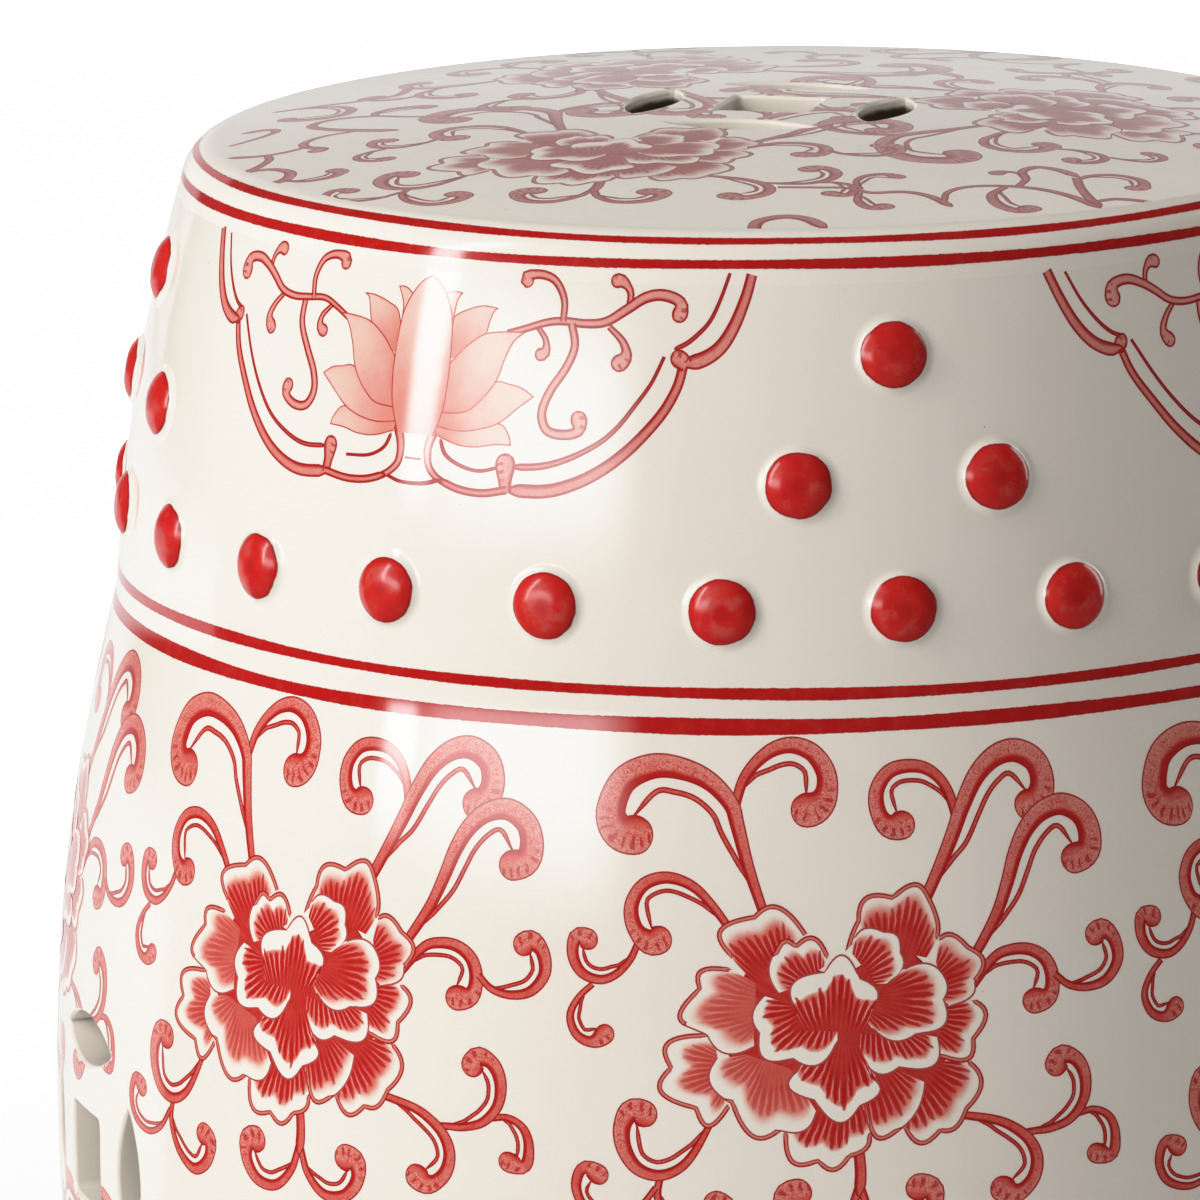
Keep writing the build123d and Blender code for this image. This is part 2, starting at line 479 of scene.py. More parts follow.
class Recipe:
    """The node tree of one material or of one lamp."""

    def __init__(self, name: str, lamp: Union[bpy.types.Light, None] = None) -> None:
        """Starts an empty tree, of a new material of that name unless a lamp is given."""
        self.material = lamp or bpy.data.materials.new(name)
        self.material.use_nodes = True
        self.tree = self.material.node_tree
        self.tree.nodes.clear()

    def node(self, kind: str, settings: dict[str, Any], feeds: dict[Union[str, int], Feed],
             out: Union[str, int] = 0) -> Sock:
        """Adds a node.

        Args:
            kind: the node's type.
            settings: its options, set first.
            feeds: values or links of its inputs, by name or number.
            out: the output to return.
        Returns:
            That output.
        """
        made = self.tree.nodes.new(kind)
        for option, choice in settings.items():
            setattr(made, option, choice)
        for key, feed in feeds.items():
            if isinstance(feed, Sock):
                self.tree.links.new(feed.out, made.inputs[key])
            elif isinstance(feed, (int, float)):
                made.inputs[key].default_value = feed
            else:
                room = len(made.inputs[key].default_value)
                made.inputs[key].default_value = (*feed, 1.0)[:room]
        return Sock(self, made.outputs[out])

    def mark(self, name: str) -> Sock:
        """A value painted on the piece's points."""
        return self.node("ShaderNodeAttribute", {"attribute_name": name}, {}, "Fac")

    @cached_property
    def place(self) -> Sock:
        """Where a point of the piece lies, in metres."""
        return self.node("ShaderNodeTexCoord", {}, {}, "Object")

    def noise(self, per_mm: float, detail: float = 2.0, roughness: float = 0.5) -> Sock:
        """Cloudy noise about 0.5.

        Args:
            per_mm: lumps for each mm.
            detail: octaves of finer lumps.
            roughness: strength of the finer lumps.
        Returns:
            Its value.
        """
        return self.node("ShaderNodeTexNoise", {}, {
            "Vector": self.place, "Scale": per_mm * 1000, "Detail": detail, "Roughness": roughness}, 0)

    def mix(self, low: Feed, high: Feed, share: Feed) -> Sock:
        """A colour between two, with that share of the second."""
        settings = {"data_type": "RGBA", "clamp_factor": True}
        return self.node("ShaderNodeMix", settings, {0: share, 6: low, 7: high}, 2)

    def close(self, surface: Sock, end: str = "ShaderNodeOutputMaterial") -> bpy.types.Material:
        """Sends the finished surface to the tree's output."""
        self.tree.links.new(surface.out, self.tree.nodes.new(end).inputs["Surface"])
        return self.material

    def chance(self, number: Sock) -> Sock:
        """A fixed random value for each whole number."""
        return self.node("ShaderNodeTexWhiteNoise", {"noise_dimensions": "1D"}, {"W": number}, "Value")


# Finishes


@dataclass(frozen=True)
class CreamGlaze:
    """Thick cream glaze over porcelain, with faint clouds, iron specks and a slow wave in its surface."""

    cream: Triple = (0.800, 0.732, 0.650)
    warm: Triple = (0.775, 0.694, 0.602)
    iron: Triple = (0.30, 0.24, 0.19)
    # Painted shade: dark brown for deep inside two of the seat's leaves.
    clay: Triple = (0.085, 0.058, 0.042)
    speck_scale: float = 105.0
    gloss: float = 0.10
    mirror: float = 0.5
    skin: float = 0.45

    def ground(self, recipe: Recipe) -> Sock:
        """The bare glaze's colour."""
        cloud = recipe.noise(0.018, 4.0, 0.6).ramp(0.35, 0.75)
        tone = recipe.mix(self.cream, self.warm, cloud * 0.45)
        feeds = {"Vector": recipe.place, "Scale": self.speck_scale}
        cells = recipe.node("ShaderNodeTexVoronoi", {}, feeds, "Distance")
        lot = recipe.node("ShaderNodeTexVoronoi", {}, feeds, "Color")
        rare = recipe.node("ShaderNodeSeparateColor", {}, {0: lot}, 0).ramp(0.62, 0.70)
        speck = (1 - cells.ramp(0.012, 0.034)) * rare * 0.75
        return recipe.mix(tone, self.iron, speck)

    def coat(self, recipe: Recipe, colour: Sock, dull: Union[Sock, None] = None) -> bpy.types.Material:
        """Closes a recipe with the glaze's gloss over the given colour.

        Args:
            recipe: the material in the making.
            colour: the colour under the glaze.
            dull: how much rougher it is than the bare glaze.
        Returns:
            The finished material.
        """
        wave = recipe.noise(0.045, 2.0, 0.45)
        feeds = {"Height": wave, "Strength": 0.10, "Distance": MM}
        bump = recipe.node("ShaderNodeBump", {}, feeds, "Normal")
        shine = recipe.noise(0.02, 3.0) * 0.06 + (self.gloss - 0.03)
        if dull:
            shine = shine + dull
        surface = recipe.node("ShaderNodeBsdfPrincipled", {}, {
            "Base Color": colour, "Roughness": shine, "IOR": 1.5, "Normal": bump,
            "Specular IOR Level": self.mirror, "Coat Weight": self.skin, "Coat Roughness": 0.03}, 0)
        return recipe.close(surface)

    def material(self, name: str) -> bpy.types.Material:
        """The bare glaze, with painted shade: dark brown down inside two of the seat's leaves."""
        recipe = Recipe(name)
        # Painted shade: below the lip the wall turns dark brown, by the "down" mark.
        down = recipe.mark("down") + (recipe.noise(0.3, 3.0) - 0.5) * 1.2
        return self.coat(recipe, recipe.mix(self.ground(recipe), self.clay, down.ramp(1.2, 2.9)))


GLAZE = CreamGlaze()


@dataclass(frozen=True)
class BiscuitClay:
    """Unglazed white clay of the foot and the hollow inside, with turning rings and grit; the hollow's copy
    takes dark tones as painted shade.
    """

    clay: Triple = (0.62, 0.55, 0.46)
    stain: Triple = (0.44, 0.34, 0.25)
    flash: Triple = (0.42, 0.24, 0.13)

    def material(self, name: str, glazed_above: bool) -> bpy.types.Material:
        """The clay's material.

        Args:
            name: what to call it.
            glazed_above: whether the piece's mark "bare" says where the glaze stops.
        Returns:
            The material.
        """
        recipe = Recipe(name)
        grit = recipe.noise(0.8, 4.0, 0.7)
        patch = recipe.noise(0.03, 3.0).ramp(0.3, 0.8)
        clay = recipe.mix(self.clay, self.stain, patch * 0.35)
        clay = recipe.mix(clay, self.stain, grit.ramp(0.55, 0.8) * 0.4)
        rings = recipe.node("ShaderNodeTexWave", {"bands_direction": "Z"}, {
            "Vector": recipe.place, "Scale": 38.0, "Distortion": 1.2, "Detail": 2.0}, "Fac")
        bump = recipe.node("ShaderNodeBump", {}, {
            "Height": grit * 0.35 + rings * 0.5, "Strength": 0.25, "Distance": 0.0006}, "Normal")
        colour, rough = clay, grit * 0.12 + 0.62
        if glazed_above:
            bare = (recipe.mark("bare") + (recipe.noise(0.12, 2.0) - 0.5) * 0.5).clamped()
            edge = bare.ramp(0.25, 0.45) * (1 - bare.ramp(0.5, 0.75))
            colour = recipe.mix(GLAZE.ground(recipe), clay, bare.ramp(0.42, 0.58))
            colour = recipe.mix(colour, self.flash, edge * 0.6)
            rough = bare.ramp(0.42, 0.58) * 0.55 + 0.10
        surface = recipe.node("ShaderNodeBsdfPrincipled", {}, {
            "Base Color": colour, "Roughness": rough, "IOR": 1.5, "Normal": bump}, 0)
        return recipe.close(surface)


@dataclass(frozen=True)
class RedPaint:
    """Iron-red brush paint under the glaze of one part of the stool, from a dark line to a pale wash."""

    part: str
    glaze: CreamGlaze
    line: Triple = (0.33, 0.009, 0.010)
    deep: Triple = (0.41, 0.006, 0.005)
    mid: Triple = (0.55, 0.052, 0.040)
    wash: Triple = (0.64, 0.19, 0.145)
    blush: Triple = (0.74, 0.44, 0.37)
    bleed: float = 0.0
    enamel: Triple = (0.50, 0.006, 0.005)
    enamel_light: Triple = (0.55, 0.014, 0.010)
    enamel_cloud: Triple = (0.52, 0.075, 0.055)
    enamel_crown: Triple = (0.36, 0.004, 0.004)
    enamel_edge: Triple = (0.22, 0.005, 0.005)

    def ring_line(self) -> bpy.types.Material:
        """The wheel-drawn rings: a full red stroke with a slightly darker, ragged edge."""
        recipe = Recipe(self.part + "ring_paint")
        edge = recipe.mark("edge") + (recipe.noise(0.9, 2.0) - 0.5) * 0.35
        body = recipe.mix(self.deep, self.mid, recipe.noise(0.25, 4.0, 0.65).ramp(0.45, 0.75) * 0.25)
        body = recipe.mix(body, self.line, (1 - edge.ramp(0.1, 0.5)) * 0.7)
        colour = recipe.mix(self.glaze.ground(recipe), body, edge.ramp(-0.04, 0.10))
        return self.glaze.coat(recipe, colour)

    def scroll(self, name: str, load: float, ink: float) -> bpy.types.Material:
        """The scrolls: a dark line round a sponged wash, darker in the hollow, with ticks on the bulbs.

        Args:
            name: what to call it.
            load: how full the brush is, from 0 for a pale wash to 1.
            ink: width of the dark line round it, in mm.
        Returns:
            The material.
        """
        recipe = Recipe(self.part + name)
        marks = ("edge", "side", "run", "wide", "rolled")
        edge, side, run, wide, rolled = (recipe.mark(mark) for mark in marks)
        sponge = recipe.noise(1.7, 2.0, 0.6)
        blot = recipe.noise(0.25, 3.0, 0.6)
        across = side + (blot - 0.5) * 0.5
        curl = 1 - (sponge - 0.5).sum("ABSOLUTE").ramp(0.01, 0.07)
        dab = blot.ramp(0.35, 0.7) * 0.35 + sponge.ramp(0.45, 0.65) * 0.32
        body = recipe.mix(recipe.mix(self.mid, self.wash, dab), self.blush, 1 - load)
        outer = (1 - across.ramp(-0.95, -0.3)) * wide.ramp(1.6, 3.2)
        body = recipe.mix(body, self.blush, outer * 0.18)
        lace = curl * (1 - across.ramp(0.15, 0.5)) * wide.ramp(2.2, 4.0)
        body = recipe.mix(body, self.blush, lace * 0.55)
        inner = (across - rolled * 0.45).ramp(0.15, 0.6)
        body = recipe.mix(body, self.deep, inner * (0.25 + 0.68 * load))
        tick = (run * 3.6 + blot * 9.0).sum("SINE").ramp(0.1, 0.7)
        bulb = wide.ramp(2.4, 3.6) * rolled.ramp(0.0, 0.25)
        band = across.ramp(-0.9, -0.6) * (1 - across.ramp(-0.25, 0.1))
        body = recipe.mix(body, self.deep, tick * band * bulb * 0.8)
        rim = 1 - (edge + (sponge - 0.5) * 0.15).ramp(ink * 0.6, ink * 1.4)
        colour = recipe.mix(body, self.line, rim * 0.96)
        return self.glaze.coat(recipe, colour)

    def petal(self) -> bpy.types.Material:
        """The peony petals: an inked contour, a bare margin, then combed dark strokes over a red wash."""
        recipe = Recipe(self.part + "petal_paint")
        rim, comb, deep, ink, load = (recipe.mark(name) for name in ("rim", "comb", "depth", "ink", "load"))
        soft = recipe.mark("soft") + self.bleed
        cloud = recipe.noise(0.30, 3.0, 0.6)
        fine = recipe.noise(1.3, 3.0, 0.6)
        lane = comb + (cloud - 0.5) * 0.6
        whole = lane.sum("FLOOR")
        luck, other = recipe.chance(whole), recipe.chance(whole + 57.3)
        off = (lane - whole - 0.5).sum("ABSOLUTE")
        depth = deep - ink + (cloud - 0.5) * 1.5
        past = depth - (luck - 0.5) * 1.7 - soft * 1.0
        ground = self.glaze.ground(recipe)
        pale = depth.ramp(soft * -1.7 - 0.05, soft * 0.6 + 0.3)
        colour = recipe.mix(ground, self.blush, pale * 0.95)
        washed = depth.ramp(soft * -0.3 - 0.1, soft * 1.1 + 0.5)
        colour = recipe.mix(colour, self.wash, washed * (fine * 0.3 + 0.8))
        full = depth.ramp(soft * 0.4 + 0.2, soft * 1.6 + 1.3)
        colour = recipe.mix(colour, self.mid, full * load * 0.94)
        colour = recipe.mix(colour, self.deep, depth.ramp(2.2, 7.0) * (cloud * 0.9 + 0.05) * load)
        half = past.ramp(-0.2, 2.4) * 0.16 + 0.17
        stroke = (1 - (off / half).ramp(0.7, 1.2)) * past.ramp(-0.3, 0.3) * (1 - past.ramp(4.5, 8.0) * 0.6)
        colour = recipe.mix(colour, self.deep, stroke * (0.95 - soft * 0.15) * load)
        scratch = off.ramp(0.38, 0.47) * past.ramp(0.3, 0.9) * (1 - past.ramp(3.0, 6.0))
        colour = recipe.mix(colour, self.blush, scratch * other.ramp(0.2, 0.6) * (0.8 - soft * 0.5))
        across = rim / ink
        colour = recipe.mix(colour, self.line, (1 - across.ramp(0.82, 1.05)) * ink.ramp(0.0, 0.5))
        core = across.ramp(0.2, 0.42) * (1 - across.ramp(0.58, 0.8)) * ink.ramp(0.6, 0.9)
        colour = recipe.mix(colour, self.wash, core * 0.85)
        return self.glaze.coat(recipe, colour)

    def lotus(self) -> bpy.types.Material:
        """The lotus petals: a fine line round a pink wash that deepens to the base and along one edge."""
        recipe = Recipe(self.part + "lotus_paint")
        reach, rim, side = (recipe.mark(name) for name in ("reach", "rim", "side"))
        cloud = recipe.noise(0.2, 3.0, 0.6)
        fine = recipe.noise(1.2, 3.0, 0.6)
        pale = (cloud - 0.5) * 0.6 + fine * 0.2 + 0.72
        colour = recipe.mix(self.glaze.ground(recipe), self.blush, pale)
        base = (1 - (reach + (cloud - 0.5) * 0.5).ramp(0.0, 0.8)) * 0.8
        colour = recipe.mix(colour, self.wash, base + side.ramp(0.55, 1.0) * 0.2 + 0.1)
        ink = (1 - (rim + (fine - 0.5) * 0.12).ramp(0.16, 0.40)) * (cloud.ramp(0.25, 0.5) * 0.35 + 0.6)
        return self.glaze.coat(recipe, recipe.mix(colour, self.deep, ink))

    def boss(self) -> bpy.types.Material:
        """A boss: red enamel to a hand-cut edge, and the cream glaze that pools round its foot."""
        recipe = Recipe(self.part + "boss_enamel")
        out = recipe.mark("out") + (recipe.noise(0.16, 2.0) - 0.5) * 1.1
        red = recipe.mix(self.enamel, self.enamel_light, recipe.noise(0.18, 4.0, 0.6).ramp(0.35, 0.7))
        ring = out.ramp(0.6, 2.6) * (1 - out.ramp(4.6, 6.6))
        cloudy = recipe.noise(0.22, 4.0, 0.65).ramp(0.46, 0.66) * ring
        red = recipe.mix(red, self.enamel_cloud, cloudy * 0.6)
        red = recipe.mix(red, self.enamel_crown, (1 - out.ramp(0.6, 2.4)) * 0.5)
        red = recipe.mix(red, self.enamel_edge, out.ramp(6.6, 7.0) * 0.8)
        colour = recipe.mix(red, self.glaze.ground(recipe), out.ramp(7.05, 7.25))
        dull = (1 - out.ramp(6.9, 7.3)) * 0.14
        return replace(self.glaze, skin=0.25).coat(recipe, colour, dull)


@dataclass
class Palette:
    """Every finish of one part of the stool, mixed once when it is first asked for."""

    red: RedPaint

    @cached_property
    def glaze(self) -> bpy.types.Material:
        """Bare cream glaze."""
        return self.red.glaze.material(self.red.part + "bare_cream_glaze")

    @cached_property
    def hollow(self) -> bpy.types.Material:
        """Clay of the unglazed inside, given dark brown tones as painted shade."""
        # Painted shade: the white clay inside is given dark brown tones.
        return BiscuitClay((0.30, 0.25, 0.20), (0.20, 0.15, 0.11)).material("hollow_clay", False)

    @cached_property
    def foot(self) -> bpy.types.Material:
        """Clay of the foot, with the glaze that stops short of the floor."""
        return BiscuitClay().material("foot_clay", True)

    @cached_property
    def ring(self) -> bpy.types.Material:
        """Paint of the wheel-drawn lines."""
        return self.red.ring_line()

    @cached_property
    def scroll(self) -> bpy.types.Material:
        """Paint of the scrolls."""
        return self.red.scroll("scroll_paint", 1.0, 0.38)

    @cached_property
    def border(self) -> bpy.types.Material:
        """Thinner paint of the lotus panels' borders."""
        return self.red.scroll("border_paint", 0.72, 0.56)

    @cached_property
    def tendril(self) -> bpy.types.Material:
        """Paler paint of the lotus panels' tendrils."""
        return self.red.scroll("tendril_paint", 0.5, 0.52)

    @cached_property
    def petal(self) -> bpy.types.Material:
        """Paint of the peonies."""
        return self.red.petal()

    @cached_property
    def lotus(self) -> bpy.types.Material:
        """Paint of the lotus flowers."""
        return self.red.lotus()

    @cached_property
    def boss(self) -> bpy.types.Material:
        """Enamel of the bosses."""
        return self.red.boss()


PALETTE = Palette(RedPaint("", GLAZE))
SEAT_PALETTE = Palette(RedPaint(
    "seat_", CreamGlaze(mirror=0.25, skin=0.0), line=(0.23, 0.010, 0.011), deep=(0.28, 0.010, 0.010),
    mid=(0.36, 0.052, 0.044), wash=(0.45, 0.18, 0.15), blush=(0.62, 0.41, 0.355), bleed=0.9))


# Painting on the glaze


class Chart:
    """A flat drawing laid on the stool, with u to the right and v up, in mm."""

    coat = 0.02
    layer = 0.008
    palette = PALETTE

    def spot(self, u: float, v: float, lift: float) -> Spot:
        """The place on the glaze under a point of the drawing."""
        raise NotImplementedError

    def gap(self, u: float, v: float) -> float:
        """Distance from the nearest pierced opening."""
        return 99.0

    def settle(self, u: float, v: float, lift: float) -> tuple[Spot, bool]:
        """Places a point, drawing it back to the lip where it would hang over an opening.

        Args:
            u: mm to the right.
            v: mm up.
            lift: paint's height above the glaze, in mm.
        Returns:
            The place, and whether the point was over an opening.
        """
        keep = COIN.lip * 0.55
        near = self.gap(u, v)
        over = near < keep
        if over:
            for _ in range(3):
                near = self.gap(u, v)
                slope = Vector((self.gap(u + 0.05, v) - near, self.gap(u, v + 0.05) - near)) / 0.05
                move = (keep - near) / max(slope.length_squared, 0.2)
                u, v = u + slope.x * move, v + slope.y * move
            near = self.gap(u, v)
        point, normal = self.spot(u, v, lift)
        if near < COIN.lip:
            short = (COIN.lip - max(near, 0.0)) / COIN.lip
            point = point - normal * COIN.lip * (1 - math.sqrt(1 - short * short))
        return (point, normal), over

    def lay(self, sheet: Sheet, cells: Sequence[Sequence[Cell]], layer: int, finish: int = 0) -> None:
        """Lays rows of painted cells on the glaze as one island of a sheet.

        Args:
            sheet: where the faces go.
            cells: the rows, each cell with its place, its flat place and its marks.
            layer: how many coats of paint lie below.
            finish: which of the sheet's materials it wears.
        """
        sheet.island += 1
        lift = self.coat + self.layer * layer
        rows = []
        for row in cells:
            placed = []
            for u, v, flat, marks in row:
                spot, over = self.settle(u, v, lift)
                placed.append(sheet.add(spot, flat, marks, over))
            rows.append(placed)
        sheet.quads(rows, finish)


@dataclass(frozen=True)
class WallChart(Chart):
    """A drawing on the wall, centred on an azimuth and a height."""

    azimuth: float
    height: float
    girth: float = 160.0
    up: int = 1

    def spot(self, u: float, v: float, lift: float) -> Spot:
        """The place on the wall."""
        return FORM.wall_spot(self.azimuth + math.degrees(u / self.girth), self.height + v * self.up, lift)

    def gap(self, u: float, v: float) -> float:
        """Distance from the openings of either handle."""
        turn = math.radians(self.azimuth) + u / self.girth
        z = self.height + v * self.up
        if abs(z - FORM.height / 2) > 45 or abs(math.sin(turn)) < 0.8:
            return 99.0
        return COIN.gap(-FORM.wall_at(z)[0] * math.cos(turn), z - FORM.height / 2)


@dataclass(frozen=True)
class SeatChart(Chart):
    """A drawing on the seat, centred on an azimuth and a reach and twisted from pointing inwards."""

    azimuth: float
    reach: float = 0.0
    twist: float = 0.0
    outer_line = 4.5
    coat = 0.012
    layer = 0.0015
    palette = SEAT_PALETTE

    @cached_property
    def axes(self) -> tuple[Vector, Vector, Vector]:
        """The drawing's middle, its right and its up."""
        out, turn = math.radians(self.azimuth), math.radians(self.azimuth + self.twist)
        middle = Vector((math.sin(out), -math.cos(out))) * self.reach
        return middle, Vector((math.cos(turn), math.sin(turn))), Vector((-math.sin(turn), math.cos(turn)))

    def flat(self, u: float, v: float) -> Vector:
        """The place seen from above, in mm."""
        middle, right, up = self.axes
        return middle + right * u + up * v

    def spot(self, u: float, v: float, lift: float) -> Spot:
        """The place on the seat."""
        return FORM.seat_spot(*self.flat(u, v), lift)

    def gap(self, u: float, v: float) -> float:
        """Distance from the seat's openings and from its outer line."""
        place = self.flat(u, v)
        coin = COIN.gap(*(Matrix.Rotation(math.radians(-COIN.seat_turn), 2) @ place))
        return min(coin, FORM.rim - self.outer_line - place.length)


def smooth_line(points: Sequence[Pair], step: float) -> list[Vector]:
    """Points along a smooth curve through the given ones.

    Args:
        points: places that the curve passes, in mm.
        step: distance between the points returned, in mm.
    Returns:
        The points, evenly spaced.
    """
    given = [Vector(point) for point in points]
    ends = [2 * given[0] - given[1], *given, 2 * given[-1] - given[-2]]
    dense = []
    parts = 12
    for p, q, r, s in zip(ends, ends[1:], ends[2:], ends[3:]):
        pull, bend, twist = r - p, 2 * p - 5 * q + 4 * r - s, 3 * q - p - 3 * r + s
        for t in (k / parts for k in range(parts)):
            dense.append(0.5 * (2 * q + pull * t + bend * t * t + twist * t ** 3))
    dense.append(given[-1])
    lengths = [0.0]
    for a, b in zip(dense, dense[1:]):
        lengths.append(lengths[-1] + (b - a).length)
    count = max(3, round(lengths[-1] / step))
    found, n = [], 0
    for k in range(count + 1):
        goal = lengths[-1] * k / count
        while n < len(dense) - 2 and lengths[n + 1] < goal:
            n += 1
        found.append(dense[n].lerp(dense[n + 1], (goal - lengths[n]) / max(lengths[n + 1] - lengths[n], 1e-9)))
    return found


def headings(line: Sequence[Vector]) -> list[Vector]:
    """The direction of a line at each of its points."""
    ways = [(b - a).normalized() for a, b in zip(line, line[1:])]
    return [ways[0], *((a + b).normalized() for a, b in zip(ways, ways[1:])), ways[-1]]


@dataclass(frozen=True)
class Stroke:
    """One brush stroke: the places it passes and its width at the root, before the bulb and of the bulb."""

    points: tuple[Pair, ...]
    root: float
    swell: float
    bulb: float = 0.0
    echo: bool = False

    def half_width(self, run: float, length: float) -> float:
        """Half the stroke's width at a distance along it."""
        part = min(run / length / 0.85, 1.0)
        half = (self.root + (self.swell - self.root) * part ** 1.4) / 2
        left = max(length - run, 0.0)
        ball = self.bulb / 2
        if not ball:
            return half * min(1.0, math.sqrt(left / self.swell) + 0.02)
        if left < ball:
            return math.sqrt(ball * ball - (ball - left) ** 2)
        if left < 3 * ball:
            blend = (3 * ball - left) / (2 * ball)
            return half + (ball - half) * blend * blend * (3 - 2 * blend)
        return half

    @cached_property
    def strips(self) -> list[list[list[Cell]]]:
        """The stroke's rows of cells and, where it has an echo, those of the thin line in its hollow."""
        line = smooth_line(self.points, 0.9)
        last, before = line[-1], line[-2]
        step = (last - before).length
        length = step * (len(line) - 1)
        runs = [step * n for n in range(len(line))]
        line[-1:] = [before.lerp(last, part) for part in (0.5, 0.8, 0.95, 1.0)]
        runs[-1:] = [length - step * (1 - part) for part in (0.5, 0.8, 0.95, 1.0)]
        ways = headings(line)
        hollow = math.copysign(1.0, sum(a.cross(b) for a, b in zip(ways, ways[1:])))
        halves = [self.half_width(run, length) for run in runs]
        found = [self.strip(line, ways, halves, hollow, length, self.bulb * 1.7)]
        if self.echo:
            path = []
            for share in (0.13, 0.20, 0.28, 0.37, 0.46, 0.55, 0.64):
                n = min(range(len(runs)), key=lambda k: abs(runs[k] - share * length))
                away = min((share - 0.13) / 0.2, 1.0)
                gap = self.swell * 0.38 * away * away * (3 - 2 * away) - 0.3 * (1 - away)
                path.append(line[n] + Vector((-ways[n].y, ways[n].x)) * hollow * (halves[n] + gap))
            ball = self.bulb / 2
            n = min(range(len(runs)), key=lambda k: abs(length - ball * 1.1 - runs[k]))
            path.append(line[n] + Vector((-ways[n].y, ways[n].x)) * hollow * ball * 0.9)
            thin = smooth_line(path, 0.9)
            count = len(thin) - 1
            width = 0.32 + 0.045 * self.swell
            sizes = [width * min(1.0, 0.35 + 6 * min(n, count - n) / count) for n in range(count + 1)]
            found.append(self.strip(thin, headings(thin), sizes, 0.0, 999.0, 0.0))
        return found

    @staticmethod
    def strip(line: Sequence[Vector], ways: Sequence[Vector], halves: Sequence[float], hollow: float,
              length: float, curl: float) -> list[list[Cell]]:
        """The rows of cells along a line.

        Args:
            line: the strip's middle.
            ways: its direction at each point.
            halves: half its width at each point.
            hollow: the side on which it is shaded, 1 to the left and -1 to the right.
            length: the stroke's length, for the distance left to its end.
            curl: the length of the end that rolls up into the bulb.
        Returns:
            One row for each point of the line.
        """
        rows, run = [], 0.0
        for n, (place, way, half) in enumerate(zip(line, ways, halves)):
            run += (place - line[n - 1]).length if n else 0.0
            rolled = min(max(1 - (length - run) / curl, 0.0), 1.0) if curl else 0.0
            row = []
            for across in (-1.0, -0.5, 0.0, 0.5, 1.0):
                spot = place + Vector((-way.y, way.x)) * half * across
                edge = min(half * (1 - abs(across)), max(length - run, 0.0))
                marks = {"edge": edge, "side": across * hollow, "run": run, "wide": 2 * half, "rolled": rolled}
                row.append((spot.x, spot.y, (run, half * across), marks))
            rows.append(row)
        return rows

    def paint(self, sheet: Sheet, chart: Chart, layer: int, finish: int = 0) -> None:
        """Lays the stroke on the glaze over that many coats."""
        for rows in self.strips:
            chart.lay(sheet, rows, layer, finish)


def nearest(place: Vector, line: Sequence[Vector]) -> float:
    """Distance of a place from a line through the given points."""
    best = math.inf
    for a, b in zip(line, line[1:]):
        along = b - a
        part = min(max((place - a).dot(along) / max(along.length_squared, 1e-9), 0.0), 1.0)
        best = min(best, (place - a - along * part).length)
    return best


@dataclass(frozen=True)
class Petal:
    """One painted petal, in mm.

    It springs from a base line. Its rim is given as notches with a crest between each two.
    """

    base: tuple[Pair, Pair]
    rim: tuple[Pair, ...]
    margin: float
    soft: float = 1.0
    inked: tuple[int, ...] = ()
    ends: float = 0.6
    load: float = 1.0
    contour: float = 1.15
    hairline: float = 0.42

    def edge(self) -> list[tuple[Vector, float]]:
        """The rim's points, one rounded lobe between each two notches, with the width of the ink there."""
        found = []
        for lobe in range(len(self.rim) // 2):
            a, crest, b = (Vector(place) for place in self.rim[2 * lobe:2 * lobe + 3])
            pull = 2 * crest - (a + b) / 2
            ink = self.contour if lobe in self.inked else self.hairline
            count = max(6, round(((crest - a).length + (b - crest).length) / 1.2))
            for step in range(count + 1 if 2 * lobe + 3 == len(self.rim) else count):
                t = step / count
                found.append((a * (1 - t) ** 2 + pull * 2 * t * (1 - t) + b * t * t, ink))
        return found

    @cached_property
    def cells(self) -> list[list[Cell]]:
        """Rows of cells, each from the rim in to the base."""
        edge = self.edge()
        line = [place for place, _ in edge]
        low, high = Vector(self.base[0]), Vector(self.base[1])
        runs = [0.0]
        for a, b in zip(line, line[1:]):
            runs.append(runs[-1] + (b - a).length)
        lanes = round((runs[-1] + (high - low).length) / 3.2)
        first = round(abs(low.x * 13 + low.y * 7)) * 3
        rows = []
        for (place, ink), run in zip(edge, runs):
            share = run / runs[-1]
            root = low.lerp(high, share)
            ray = (root - place).length
            swell = min(min(share, 1 - share) / 0.25, 1.0)
            bare = self.margin * (self.ends + (1 - self.ends) * swell * swell * (3 - 2 * swell))
            row = []
            for part in (0.0, 0.03, 0.07, 0.12, 0.18, 0.26, 0.36, 0.48, 0.62, 0.8, 1.0):
                spot = place.lerp(root, part)
                row.append((spot.x, spot.y, (spot.x, spot.y), {
                    "rim": nearest(spot, line) if part else 0.0, "depth": ray * part - min(bare, ray * 0.4),
                    "comb": share * lanes + first, "soft": self.soft, "ink": ink, "load": self.load}))
            rows.append(row)
        return rows

    def paint(self, sheet: Sheet, chart: Chart, layer: int, finish: int = 0) -> None:
        """Lays the petal on the glaze over that many coats."""
        chart.lay(sheet, self.cells, layer, finish)


